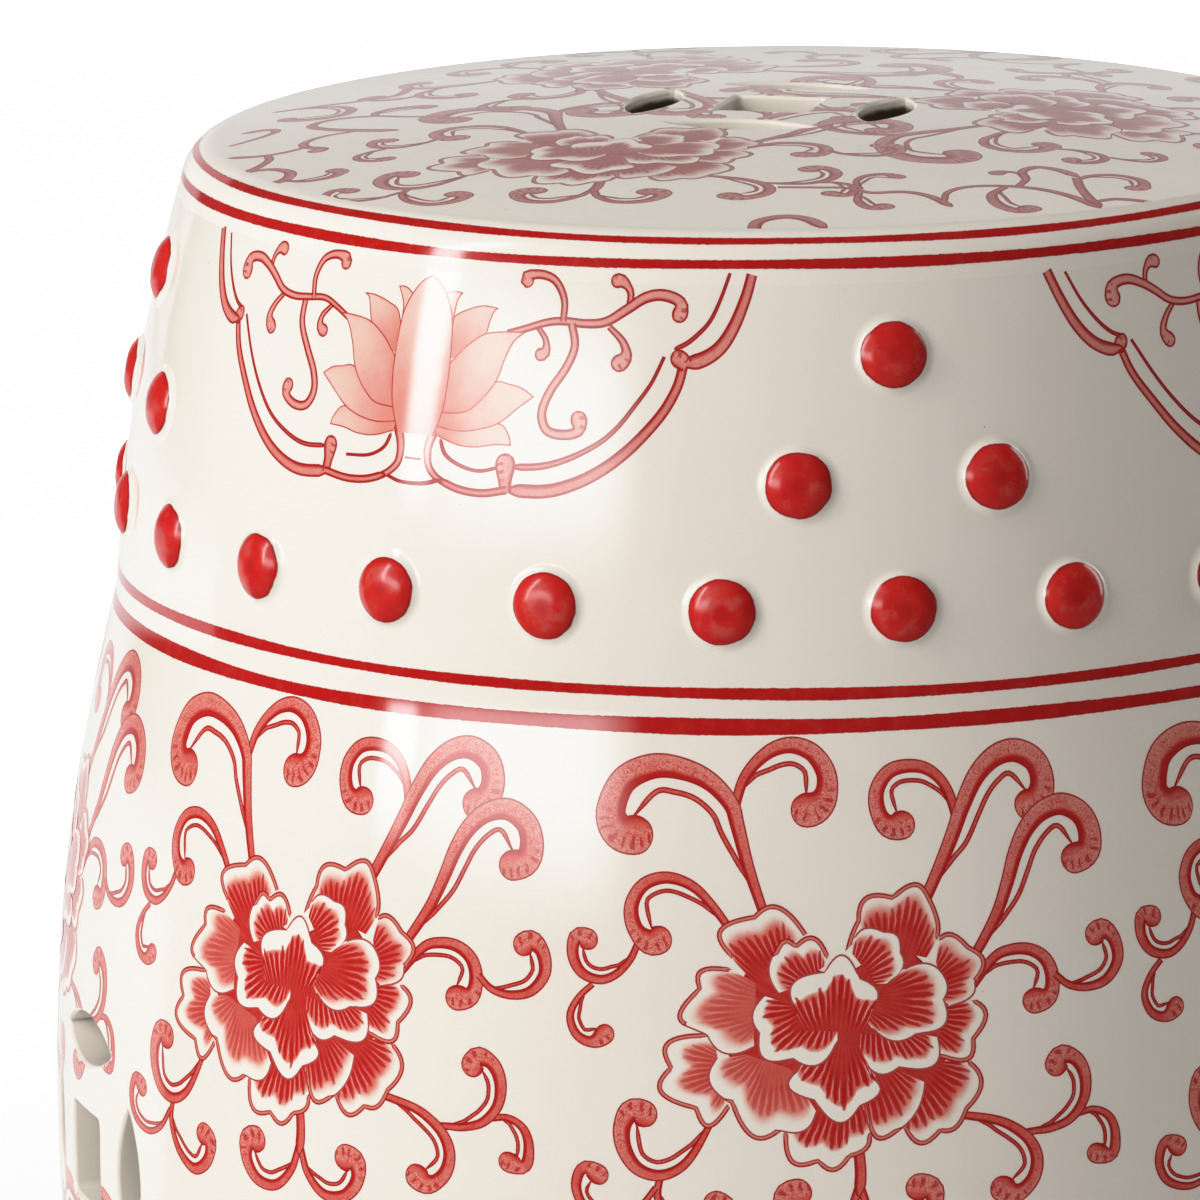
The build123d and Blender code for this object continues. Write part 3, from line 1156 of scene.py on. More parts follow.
@dataclass(frozen=True)
class PeonySpray:
    """A full-blown peony with its scrolling stems, as one drawing in mm about the flower's heart."""

    crown: tuple[Stroke, ...] = (
        Stroke(((-21.8, 43), (-20, 49), (-17, 53), (-13, 55.8), (-8.5, 56.6), (-4, 54.8), (-1.2, 50.5),
                (-1.6, 45.8), (-4.6, 43.3), (-9.3, 43.5)), 2.2, 5.4, 7.4, True),
        Stroke(((-14.5, 19.5), (-18.5, 31), (-21, 40), (-22.5, 44.5), (-27, 49), (-33, 51.5), (-40, 52),
                (-46.5, 49), (-49.3, 43), (-48.3, 39.2), (-45.2, 37.6),
                (-39.6, 38.2)), 2.2, 7.0, 8.4, True),
        Stroke(((28, 38.5), (26, 46), (22.5, 50.2), (18, 51.6), (13, 50.7), (10, 47), (10, 42.5),
                (12.5, 39.3), (18.2, 40)), 2.2, 4.0, 6.2, True),
        Stroke(((18.5, 21.5), (23.5, 31), (26.5, 37), (29.5, 43.5), (33, 49), (37.5, 52.5), (42.5, 53.3),
                (47, 50.8), (48.3, 46.2), (46.3, 42.4), (41.2, 41.5)), 2.6, 6.0, 6.6, True),
        Stroke(((28.5, 9), (35, 19), (38, 25.5), (40.5, 32), (43.5, 37), (47.5, 40.3), (52.5, 41.3),
                (57, 38.8), (58.6, 34.5), (57.3, 30.6), (51.2, 29.2)), 2.2, 5.8, 6.6, True),
    )
    trails: tuple[Stroke, ...] = (
        Stroke(((-52, 6), (-55, 3), (-56.8, -1), (-55.2, -5), (-51.5, -6.2),
                (-47.6, -3)), 1.4, 2.6, 4.4, True),
        Stroke(((-42.4, 15), (-44, 11.5), (-47, 8.3), (-50.5, 7), (-54.5, 8.3), (-56.6, 12),
                (-55.8, 15.8), (-51.2, 14.6)), 1.6, 3.0, 4.7, True),
        Stroke(((-21.5, 17), (-26.5, 23.5), (-31, 27.5), (-36.5, 29), (-41.5, 27.3), (-44, 22.8),
                (-43, 18), (-39.5, 15.4), (-35.4, 17.5)), 1.8, 3.8, 6.2, True),
        Stroke(((47.8, 6), (51, 3.3), (55.5, 2.4), (60, 3.6), (62.9, 7.5), (62.3, 12), (59.6, 14.2),
                (56, 11.8)), 1.6, 3.6, 5.2, True),
        Stroke(((28.5, 4), (34, 10.3), (38, 11.9), (42.5, 11.6), (46, 9.2), (47.3, 5), (46, 1.2),
                (40.2, 0.5)), 2.0, 3.7, 5.6, True),
        Stroke(((51.5, -24.5), (55.5, -24), (59, -26), (60.3, -30), (59.2, -34.3),
                (53.6, -32.8)), 1.5, 3.2, 4.6, True),
        Stroke(((38.2, -27.4), (42, -27.2), (45.5, -27), (50, -25.4), (53.2, -21.5), (53.7, -16.5),
                (51.8, -12.6), (48.4, -11.6), (46.2, -15.8)), 1.6, 3.6, 5.4, True),
        Stroke(((24, -22), (32.5, -23.8), (37, -25.8), (40.8, -29.2), (42.3, -33.5), (41, -38),
                (37.2, -40.4), (32.3, -37.5)), 1.8, 3.6, 5.8, True),
        Stroke(((4, -37), (2, -42.5), (-2.5, -46.8), (-8, -46.5), (-11.3, -42.5), (-10.8, -38.3),
                (-5.6, -37.6)), 1.8, 4.0, 6.2, True),
        Stroke(((4.5, -37), (6.5, -42.5), (11, -46.5), (16.5, -46), (19.8, -42), (19.2, -38),
                (13.8, -37.4)), 1.8, 4.0, 6.2, True),
        Stroke(((4, -27), (4.5, -34), (4, -39)), 2.4, 2.6),
        Stroke(((-38, -37), (-42, -42), (-47.5, -44), (-53, -42), (-55, -37.5), (-53.2, -33.4),
                (-48.3, -36)), 1.4, 2.6, 4.6, True),
        Stroke(((-37, -34), (-37.6, -39.5), (-34.5, -45.5), (-29, -48.5), (-24.3, -45.8), (-23.4, -41.2),
                (-28, -39.2)), 1.6, 3.6, 5.4, True),
        Stroke(((-25, -19.5), (-29.5, -28.3), (-33, -32.6), (-37.5, -34.4), (-42, -33), (-44.8, -28.8),
                (-45.2, -24), (-43, -20.6), (-37.9, -22.3)), 1.4, 4.2, 6.0, True),
    )
    petals: tuple[Petal, ...] = (
        Petal(((0, -2), (0, -2)), ((-20, 8), (-24, -4), (-18, -14), (-4, -22), (14, -18), (24, -8),
              (22, 6), (14, 14), (6, 11), (0, 9), (-6, 11), (-14, 13), (-20, 8)), -9.0, 0.0),
        Petal(((-6, -18), (5, -18)), ((-11.5, -25), (-10, -31.5), (-4.5, -31.5), (-1, -33.5),
              (2.5, -30.5), (6, -29), (7, -26)), 3.4, 0.4, (0, 1, 2)),
        Petal(((11.5, -14.5), (21.5, -10.5)), ((13.5, -24.5), (17, -28.5), (21.5, -26), (25, -25.5),
              (27.5, -21.5), (31, -16), (28.5, -11)), 2.2, 0.7, (0, 1, 2)),
        Petal(((3, -11.5), (12.5, -12)), ((5.5, -20.5), (6, -23.5), (7, -26), (9.5, -27), (13.5, -24.5),
              (17, -20.5), (18.5, -15)), 1.8, 0.8, (1,)),
        Petal(((-25.5, -6.5), (-23.5, -17.5)), ((-28, -3.5), (-36, -5.5), (-35.5, -11), (-37.5, -16.5),
              (-30, -20), (-27, -24), (-22.5, -19.5)), 3.2, 0.8, (0, 1, 2), 0.6, 0.6),
        Petal(((-19, -8), (-10, -11)), ((-25.5, -9), (-27, -14), (-22.5, -18.5), (-18, -26),
              (-12, -24.5), (-7, -24.5), (-4.5, -20.5)), 3.2, 0.9, (1,), 0.6, 0.55),
        Petal(((-17, 7), (-17.5, -4.5)), ((-23, 10.5), (-29, 10), (-29.5, 6), (-33.5, 1), (-32.5, -2),
              (-30, -3), (-27.5, -4), (-23.5, -8), (-17.5, -6.5)), 2.6, 1.0, (0, 1), 0.6, 0.5),
        Petal(((23, 1), (21.5, -7.5)), ((30, 2), (32.5, -1.5), (29.5, -6.5), (28, -11),
              (22, -10)), 1.9, 0.5, (0, 1)),
        Petal(((21.5, 10.5), (23, 2)), ((22.5, 16), (25.5, 16.5), (29, 13.5), (32.5, 10), (30, 5.5),
              (29, 2.5), (24.5, 1)), 1.4, 1.0, (0, 1)),
        Petal(((4, 15.5), (19.5, 11.5)), ((2, 13.5), (3, 17), (4.5, 20), (6.5, 25), (12.5, 25),
              (17, 27.5), (20, 26), (22.5, 20), (22.5, 16)), 1.6, 0.9, (0, 1, 2, 3)),
        Petal(((-17, 7), (-8.5, 16)), ((-23, 13), (-25, 18.5), (-17.5, 21.5), (-12, 23.5),
              (-6, 17.5)), 2.2, 0.8, (0, 1)),
        Petal(((-9.5, 6), (-2.5, 10.5)), ((-12.5, 5), (-14.5, 9.5), (-13, 14), (-11, 16.5), (-8.5, 15.5),
              (-4.5, 17), (-1.5, 13)), 1.8, 0.4, (1, 2)),
        Petal(((3.5, 13), (8.5, 6.5)), ((4, 16.5), (6.5, 18.5), (10.5, 17.5), (13.5, 16.5), (14, 13),
              (14.5, 9.5), (11, 6.5)), 1.8, 0.5),
        Petal(((17.5, -4.5), (5, -4)), ((21.5, -5.5), (20.5, -11.5), (13, -11.5), (9.5, -13),
              (6.5, -11.5), (5, -10), (4.5, -8.5)), 2.2, 0.3),
        Petal(((-3, -6), (4.5, -6)), ((-8, -11), (-10.5, -15), (-5, -18), (0, -23), (4.5, -19.5),
              (9, -16.5), (7, -13)), 3.0, 0.1),
        Petal(((11, 6.5), (6, -1)), ((14.5, 9.5), (19.5, 10.5), (23, 8), (24, 5), (23, 2.5), (23, -3),
              (17, -4.5), (12, -6), (7.5, -3)), 2.2, 0.7),
        Petal(((-9, 2.5), (0, -2)), ((-15.5, 4.5), (-18, 0.5), (-16.5, -3.5), (-15.5, -9), (-9.5, -9),
              (-4, -10.5), (0, -5.5)), 2.8, 0.15),
        Petal(((-7.5, -3), (6, -3.5)), ((-8.5, 1), (-9.5, 7), (-2.5, 9.5), (1.5, 13), (5, 8), (9, 5),
              (7.5, 1.5)), 3.8, 0.05, (), 0.0),
    )

    def head(self, name: str, chart: Chart) -> bpy.types.Object:
        """The flower with the forked stems above it, as one painted piece."""
        sheet = Sheet(name)
        for layer, stroke in enumerate(self.crown):
            stroke.paint(sheet, chart, layer, 1)
        for layer, petal in enumerate(self.petals):
            petal.paint(sheet, chart, layer + 2)
        return sheet.make(chart.palette.petal, chart.palette.scroll)

    def scrolls(self, name: str, chart: Chart) -> bpy.types.Object:
        """The scrolls beside and below the flower, as one painted piece."""
        sheet = Sheet(name)
        for layer, stroke in enumerate(self.trails):
            stroke.paint(sheet, chart, layer % 4)
        return sheet.make(chart.palette.scroll)


@dataclass(frozen=True)
class SeatScroll:
    """Scrolls along the seat's edge, in mm as seen from above."""

    strokes: tuple[Stroke, ...]

    def build(self, name: str, chart: Chart) -> bpy.types.Object:
        """The scrolls as one painted piece."""
        sheet = Sheet(name)
        for layer, stroke in enumerate(self.strokes):
            stroke.paint(sheet, chart, layer % 4)
        return sheet.make(chart.palette.scroll)


RIM_SCROLL = SeatScroll((
    Stroke(((18, -93), (17, -87), (19, -81.5), (23.5, -79.5), (27.5, -83)), 1.4, 2.6, 4.0, True),
    Stroke(((17.5, -96), (17, -103), (19.5, -108.5), (24.5, -106)), 1.6, 3.4, 5.0, True),
    Stroke(((0, -91), (8, -91.5), (15, -92), (20, -96), (27, -95), (32.5, -98.5), (37, -107)), 1.6, 2.6),
    Stroke(((35.5, -102), (36.5, -95), (40.5, -90), (47.5, -88), (56, -89.5), (63, -95),
            (69, -104)), 1.6, 2.8),
    Stroke(((49, -89), (46, -96), (47, -104), (51, -108.5), (55.5, -104.5)), 2.0, 4.2, 5.4, True),
    Stroke(((53.5, -81), (52.5, -76), (49.5, -75), (46.5, -78)), 1.2, 2.2, 4.0),
    Stroke(((52, -88), (54, -81), (53.5, -74), (57, -69.5), (62, -72), (65.5, -77.5)), 1.8, 3.0),
    Stroke(((65, -78), (65.5, -87), (67, -96), (69, -103)), 2.2, 2.6),
    Stroke(((65, -80), (68.5, -75.5), (74, -74), (79, -77.5), (79, -84), (75, -85.5)), 1.8, 3.2, 4.6, True),
    Stroke(((67.5, -99), (73, -95.5), (80, -97), (86, -103)), 1.8, 3.4),
    Stroke(((-6, -127), (-4.5, -119), (1, -115.5), (6, -118), (9.5, -125)), 3.0, 3.6),
))

RIM_SPRIG = SeatScroll((
    Stroke(((-82, 49), (-84.5, 39), (-92, 34), (-103, 31.5), (-113, 28.5)), 2.6, 2.2),
    Stroke(((-112, 29), (-104, 30), (-97.5, 27.5), (-94.5, 20.5), (-97, 13.5), (-103.5, 11.5),
            (-109, 14), (-108, 17.5)), 1.8, 3.8, 4.6, True),
    Stroke(((-74, 0.5), (-82, 3.5), (-88, 7.5), (-95, 9), (-101, 6.5), (-103, 1), (-99.5, -4.5),
            (-92, -10), (-83, -14)), 1.6, 3.4),
    Stroke(((-89, 8), (-88.5, 13), (-84, 17), (-78, 16.5), (-76.5, 13)), 2.0, 4.0, 5.0, True),
    Stroke(((-121, -14), (-114.5, -7), (-111, -1), (-113, 3), (-119, 1)), 1.4, 2.8),
    Stroke(((-93, -10.5), (-100, -13.5), (-104, -19.5), (-103.5, -25), (-100, -28.5),
            (-102.5, -32)), 1.6, 3.0, 4.2),
    Stroke(((-103.5, -25), (-109, -29), (-115, -30), (-121, -28)), 1.8, 2.6),
    Stroke(((-112, -30), (-111.5, -36), (-114, -43), (-118, -48)), 2.0, 2.6),
    Stroke(((-117, -46.5), (-111, -46), (-106.5, -51), (-107, -58), (-111.5, -62)), 2.4, 3.2),
    Stroke(((-107.5, -59), (-103, -62), (-97.5, -60.5), (-95, -56), (-98, -52.5)), 1.8, 3.2, 4.6, True),
))


@dataclass(frozen=True)
class Blade:
    """One pointed lotus petal between two edges that both run from its tip to its base, in mm."""

    left: tuple[Pair, ...]
    right: tuple[Pair, ...]

    @cached_property
    def cells(self) -> list[list[Cell]]:
        """Rows of cells across the petal, from its tip to its base."""
        edges = [smooth_line(points, 0.4) for points in (self.left, self.right)]
        count = max(len(edge) for edge in edges) // 2
        rows = []
        for n in range(count + 1):
            one, two = (edge[round(n / count * (len(edge) - 1))] for edge in edges)
            row = []
            for part in (0.0, 0.05, 0.12, 0.28, 0.5, 0.72, 0.88, 0.95, 1.0):
                spot = one.lerp(two, part)
                rim = min(nearest(spot, edge) for edge in edges)
                marks = {"reach": 1 - n / count, "rim": rim, "side": part}
                row.append((spot.x, spot.y, (spot.x, spot.y), marks))
            rows.append(row)
        return rows

    def paint(self, sheet: Sheet, chart: Chart, layer: int) -> None:
        """Lays the petal on the glaze over that many coats."""
        chart.lay(sheet, self.cells, layer)


@dataclass(frozen=True)
class LotusPanel:
    """A lotus with tendrils inside a hanging bracket border, in mm about the panel's middle."""

    border: tuple[Stroke, ...] = (
        Stroke(((-73.5, 20), (-71, 14), (-68, 8.5), (-64.5, 4.6), (-60.5, 2.6), (-57, 2.6)), 2.4, 3.0),
        Stroke(((-57.6, 2.4), (-55.4, -3), (-51.2, -9), (-46, -15.5), (-40, -21), (-34, -24.3),
                (-28, -25.6), (-20, -24.8)), 2.0, 2.8),
        Stroke(((-21, -24.8), (-15, -25.6), (-9.5, -25.2), (-4.5, -23.6)), 1.8, 1.8),
        Stroke(((-4, -23.8), (-1, -24.7), (3, -24.8), (6, -24.4), (9, -23.4)), 0.8, 1.0),
        Stroke(((24.6, -24.3), (19, -25.4), (13.5, -25), (8.7, -23.4)), 1.8, 1.8),
        Stroke(((61.8, 3.6), (60.6, -1), (58, -6), (54, -11), (49.5, -15.5), (44.5, -19.3), (39, -22.2),
                (33, -24), (24.5, -24.3)), 2.2, 3.0),
        Stroke(((76.3, 22), (75, 17.5), (72.5, 11.5), (69.5, 7), (65.5, 4.4), (61, 3.6)), 2.4, 3.4),
        Stroke(((-58.5, 2), (-57, 4), (-55.6, 4.6)), 2.4, 3.0, 3.4),
        Stroke(((62.5, 3.2), (60.8, 4.6), (59, 5.4)), 2.6, 3.4, 4.0),
        Stroke(((-20.8, -25.2), (-20.3, -21.8), (-20, -17.2)), 2.4, 2.8, 3.8),
        Stroke(((24.3, -24.8), (24, -21), (23.9, -16.6)), 2.8, 3.2, 4.6),
    )
    inner: tuple[Stroke, ...] = (
        Stroke(((-69, 19.5), (-66, 13.5), (-62.5, 8.8), (-59.3, 6), (-56.6, 5)), 0.7, 1.0),
        Stroke(((-54.6, 4), (-50, -3.5), (-45.5, -9.5), (-40, -15), (-34, -18.3), (-28, -20),
                (-21.5, -19.6)), 0.8, 1.1),
        Stroke(((-15.5, -20.7), (-9.5, -20.1), (-5.6, -18), (-4, -14.8)), 0.7, 0.9),
        Stroke(((0, -19.6), (4.2, -19.6)), 0.5, 0.6),
        Stroke(((22.5, -19.7), (18, -20.8), (13.5, -20), (9.8, -18), (8.3, -14.8)), 0.8, 1.0),
        Stroke(((57.6, 5), (55, -0.5), (51.5, -5.5), (48, -10), (44, -13.5), (38, -16.8), (32, -18.8),
                (25.5, -19.4)), 0.8, 1.6),
        Stroke(((71.5, 22.3), (69.5, 17), (67.3, 12.5), (64.5, 9.5), (62, 7.6), (59.6, 6.6)), 0.8, 1.1),
    )
    tendrils: tuple[Stroke, ...] = (
        Stroke(((-6, -24.2), (-3.6, -22.8), (-1.6, -20.5), (-1.4, -16.5), (-3.2, -11.5)), 1.6, 2.4),
        Stroke(((10.2, -24), (7.8, -22.8), (5.9, -20.5), (5.6, -16.5), (7.4, -11.5)), 1.6, 2.4),
        Stroke(((-48.6, 14.4), (-48, 17.6), (-46, 19.4), (-43.4, 19)), 1.3, 2.0, 3.2),
        Stroke(((-31.6, 10.6), (-32.2, 15), (-30.5, 18.8), (-27, 20.3), (-23.6, 19.8),
                (-23.4, 17.4)), 1.5, 2.2, 3.4),
        Stroke(((-41.6, 10.4), (-44.4, 7.6), (-45.6, 4.6), (-43.2, 1.6)), 1.3, 2.4, 3.4),
        Stroke(((-34.2, 10), (-34, 5), (-31, 0), (-28, -4.5), (-27, -8.5), (-28.8, -11.8),
                (-32.5, -12.2), (-35.6, -10.3), (-34.7, -7)), 1.9, 2.2, 3.4),
        Stroke(((-25.2, 9.9), (-27.8, 7.4), (-28, 5), (-25.6, 3.6)), 1.2, 2.0, 3.0),
        Stroke(((-20, 7.8), (-24, 9.7), (-28, 11), (-33, 10.6), (-38, 10.2), (-42.5, 11), (-46, 13.3),
                (-49.5, 15.3), (-53.5, 16.5), (-57.4, 15.4), (-57.8, 11)), 1.4, 2.4, 4.2),
        Stroke(((49.4, 14.8), (49.6, 18), (47.6, 20.2), (45, 20)), 1.5, 2.2, 3.2),
        Stroke(((34.8, 11.4), (34.6, 16), (32.2, 19.7), (28.5, 20.8), (25.2, 20),
                (26.8, 18.4)), 1.6, 2.2, 3.2),
        Stroke(((45.2, 10.8), (48.4, 7.8), (49.2, 4.8), (46.4, 2.2)), 1.4, 2.6, 3.8),
        Stroke(((36.8, 11), (37.8, 6.5), (36.2, 2), (33, -3), (31.4, -7.5), (32.5, -11), (35.8, -12),
                (39.6, -11), (39.4, -6.8)), 1.9, 2.3, 3.8),
        Stroke(((28.8, 10.2), (31, 7.6), (31.2, 5), (28.9, 3.8)), 1.2, 2.0, 3.0),
        Stroke(((22, 8.2), (26, 9.4), (31, 11), (35, 11.5), (40, 11.2), (44.5, 11.8), (49, 14.5),
                (53, 17), (57, 17.6), (60.8, 16), (60.2, 12)), 1.6, 2.6, 3.6),
    )
    blades: tuple[Blade, ...] = (
        Blade(((-16.5, 13.5), (-15, 12.6), (-14.2, 10.5), (-13.3, 7.8), (-11, 3)),
              ((-16.5, 13.5), (-13, 13.4), (-9, 12.3), (-6, 10.7), (-4.5, 6), (-5, 2))),
        Blade(((19.5, 13.3), (15.5, 13.6), (11.5, 12.4), (8.5, 10.5), (8, 6), (8.5, 2)),
              ((19.5, 13.3), (18.4, 12.3), (17.6, 10), (17, 7.8), (14, 3))),
        Blade(((-7, 15.8), (-5.9, 14), (-5, 11.5), (-5, 6)), ((-7, 15.8), (-5, 15.9), (-3, 14.8),
               (-1, 12), (0, 6))),
        Blade(((10.3, 15.8), (8, 16), (5.5, 15.2), (4, 12), (3, 6)), ((10.3, 15.8), (9.2, 14.2),
               (8.8, 11.5), (8.5, 6))),
        Blade(((-21, -15), (-17, -15.2), (-13, -16), (-8.5, -15.9), (-3.5, -14.4)),
              ((-21, -15), (-20.2, -12.8), (-17.5, -10.5), (-11, -11.5), (-3, -11.5))),
        Blade(((25, -15), (24.4, -12.8), (22, -10.5), (15, -11.5), (7, -11.5)),
              ((25, -15), (21, -15.2), (17, -16), (12.5, -15.9), (7.5, -14.4))),
        Blade(((-25, -4.5), (-21.5, -7.3), (-17.5, -10.5), (-13.5, -12.2), (-8.5, -13), (-3, -12.4)),
              ((-25, -4.5), (-22.5, -2.9), (-19.5, -2.3), (-16, -2), (-9, -6), (-3, -9))),
        Blade(((29.5, -4.5), (26.7, -2.8), (23.5, -2.1), (20, -2), (13, -6), (7, -9)),
              ((29.5, -4.5), (26, -7.2), (22, -10.5), (17.5, -12.2), (12.5, -13), (7, -12.4))),
        Blade(((-22.5, 8.7), (-20, 7), (-17.8, 3), (-16.3, -1.5), (-14.3, -4.8), (-11, -8), (-8.5, -9.2),
               (-3.5, -9.6)),
              ((-22.5, 8.7), (-18, 8.6), (-13.5, 7.9), (-9.5, 5.6), (-6.6, 2.8), (-5, 0.5), (-4.6, -4),
              (-3.6, -8.5))),
        Blade(((26.5, 8.8), (21.5, 8.6), (17, 7.9), (13.3, 5.6), (10.4, 2.8), (8.6, 0.5), (8.2, -4),
               (7.6, -8.5)),
              ((26.5, 8.8), (23.8, 6.5), (22, 2.5), (20.7, -1.5), (18.5, -4.8), (15.3, -8), (12.5, -9.2),
              (7.5, -9.6))),
        Blade(((1.8, 18.8), (-0.6, 17.5), (-3, 14.5), (-4.8, 10), (-5.4, 3), (-5.4, -3), (-4.6, -9),
               (-2.6, -14.5)),
              ((1.8, 18.8), (4.2, 17.5), (6.4, 14.8), (8.4, 10.2), (9, 3), (9, -3), (8.4, -9), (6.6, -14.5))),
    )

    def lotus(self, name: str, chart: Chart) -> bpy.types.Object:
        """The lotus flower as one painted piece."""
        sheet = Sheet(name)
        for layer, blade in enumerate(self.blades):
            blade.paint(sheet, chart, layer)
        return sheet.make(PALETTE.lotus)

    def frame(self, name: str, chart: Chart) -> bpy.types.Object:
        """The border and its tendrils as one painted piece."""
        sheet = Sheet(name)
        for layer, stroke in enumerate((*self.inner, *self.border)):
            stroke.paint(sheet, chart, layer % 4)
        for layer, stroke in enumerate(self.tendrils):
            stroke.paint(sheet, chart, layer % 4, 1)
        return sheet.make(PALETTE.border, PALETTE.tendril)


# Sub-assemblies


@dataclass
class GlazedShell:
    """The three clay pieces: the pierced barrel, the domed seat and the foot, turned on one form."""

    columns: int = 240
    seam_z: float = 439.8
    foot_z: float = 16.0
    patch_columns: int = 12
    patch_low: float = 180.5
    patch_high: float = 276.5
    row_step: float = 4.6
    clear: float = 1.2
    lip_steps: int = 5
    seat_patch: float = 54.0
    seat_edge: float = 116.0
    seat_thickness: float = 10.0
    seat_grid: float = 5.0
    skirt: float = 8.0
    skirt_round: float = 1.7
    lute: float = 0.3
    # The two seat leaves painted dark inside as painted shade.
    shaded_leaves: tuple[int, int] = (2, 4)
    heel_round: float = 7.08
    heel_sweep: float = 81.0
    tread: float = 14.0
    inner_round: float = 2.0
    lip_top: float = 24.0

    def heights(self) -> list[float]:
        """Heights of the wall's rows, closer together at the collars."""
        collar = FORM.shoulder - FORM.creep
        close = [collar + step for step in (-8.0, -5.5, -3.5, -2.0, -1.0, 0.0, 1.0, 2.0, 3.5, 5.5, 8.0)]
        mirrored = [FORM.height - z for z in reversed(close)]
        marks = (self.foot_z, *close, self.patch_low, self.patch_high, *mirrored, self.seam_z)
        rows = [marks[0]]
        for low, high in zip(marks, marks[1:]):
            count = max(1, round((high - low) / self.row_step))
            rows += [low + (high - low) * step / count for step in range(1, count + 1)]
        return rows

    def wall(self, azimuth: float, z: float, inset: float) -> Spot:
        """A place on the wall's outside, or on its inside where there is an inset."""
        point, normal = FORM.wall_spot(azimuth, z)
        if not inset:
            return point, normal
        turn = math.radians(azimuth)
        return point - Vector((math.sin(turn), -math.cos(turn), 0)) * inset, -normal

    def fill(self, sheet: Sheet, border: list[Pair], inner: list[Pair], loops: list[list[Pair]],
             place: Placer, finish: int) -> None:
        """Fills a pierced patch with triangles.

        Args:
            sheet: where the faces go.
            border: the patch's outer edge, in order.
            inner: points inside it.
            loops: the openings' edges, in order.
            place: gives the spot of a point of the patch.
            finish: which of the sheet's materials it wears.
        """
        points = [Vector(p) for p in border]
        edges = [(n, (n + 1) % len(border)) for n in range(len(border))]
        for loop in loops:
            first = len(points)
            points += [Vector(p) for p in loop]
            edges += [(first + n, first + (n + 1) % len(loop)) for n in range(len(loop))]
        points += [Vector(p) for p in inner]
        verts, _, faces, *_ = delaunay_2d_cdt(points, edges, [], 0, 1e-5)
        numbers = [sheet.add(place(v.x, v.y)) for v in verts]
        for corners in faces:
            middle = sum((verts[n] for n in corners), Vector((0, 0))) / 3
            if not any(self.within(middle, loop) for loop in loops):
                sheet.face([numbers[n] for n in corners], finish)

    @staticmethod
    def within(place: Vector, loop: list[Pair]) -> bool:
        """Whether a place lies inside a loop."""
        inside = False
        for (ax, ay), (bx, by) in zip(loop, [*loop[1:], loop[0]]):
            if (ay > place.y) != (by > place.y) and place.x < (bx - ax) * (place.y - ay) / (by - ay) + ax:
                inside = not inside
        return inside

    def barrel(self) -> bpy.types.Object:
        """The bulging wall, pierced by a coin on each side."""
        sheet = Sheet("glazed_barrel")
        heights = self.heights()
        for inset, finish in ((0.0, 0), (FORM.wall, 1)):
            grid = [[sheet.add(self.wall(360 * n / self.columns, z, inset)) for n in range(self.columns)]
                    for z in heights]
            for low, high, z in zip(grid, grid[1:], heights):
                for n in range(self.columns):
                    near = min(abs((n + 0.5) - self.columns * share) for share in (0.25, 0.75))
                    if near < self.patch_columns and self.patch_low - 0.1 <= z < self.patch_high - 0.1:
                        continue
                    m = (n + 1) % self.columns
                    sheet.face((low[n], low[m], high[m], high[n]), finish)
            for side in (90.0, 270.0):
                self.handle_patch(sheet, side, inset, finish, heights)
        for side in (90.0, 270.0):
            for loop in COIN.loops:
                self.lip(sheet, loop, lambda h, v, s=side: self.handle_spot(s, h, v, 0.0),
                         lambda h, v, s=side: self.handle_spot(s, h, v, FORM.wall))
        return sheet.make(PALETTE.glaze, PALETTE.hollow)

    def handle_spot(self, side: float, h: float, v: float, inset: float) -> Spot:
        """The wall's place seen straight at a handle, h mm along it and v mm above its middle."""
        z = FORM.height / 2 + v
        radius = FORM.wall_at(z)[0] - inset
        return self.wall(side + math.degrees(math.asin(h / radius)), z, inset)

    def handle_patch(self, sheet: Sheet, side: float, inset: float, finish: int, heights: list[float]) -> None:
        """The wall round one handle's openings."""
        rows = [z for z in heights if self.patch_low - 0.1 <= z <= self.patch_high + 0.1]
        turns = [360 * n / self.columns for n in range(-self.patch_columns, self.patch_columns + 1)]
        border = [(t, rows[0]) for t in turns] + [(turns[-1], z) for z in rows[1:]]
        border += [(t, rows[-1]) for t in turns[-2::-1]] + [(turns[0], z) for z in rows[-2:0:-1]]
        grow = 0.0 if inset else COIN.lip

        def across(turn: float, z: float) -> float:
            """Distance along the handle's face of a place on the wall."""
            return (FORM.wall_at(z)[0] - inset) * math.sin(math.radians(turn))

        def unwound(place: Vector) -> Pair:
            """Angle and height of a place seen straight at the handle."""
            z = FORM.height / 2 + place.y
            return math.degrees(math.asin(place.x / (FORM.wall_at(z)[0] - inset))), z

        inner = [(t, z) for t in turns[1:-1] for z in rows[1:-1]
                 if COIN.gap(across(t, z), z - FORM.height / 2) > grow + self.clear]
        loops = [[unwound(point + out * grow) for point, out in loop] for loop in COIN.loops]
        stretch = math.radians(1) * FORM.belly
        edge, middle, *rings = [[(t * stretch, z) for t, z in part] for part in (border, inner, *loops)]
        self.fill(sheet, edge, middle, rings, lambda u, v: self.wall(side + u / stretch, v, inset), finish)

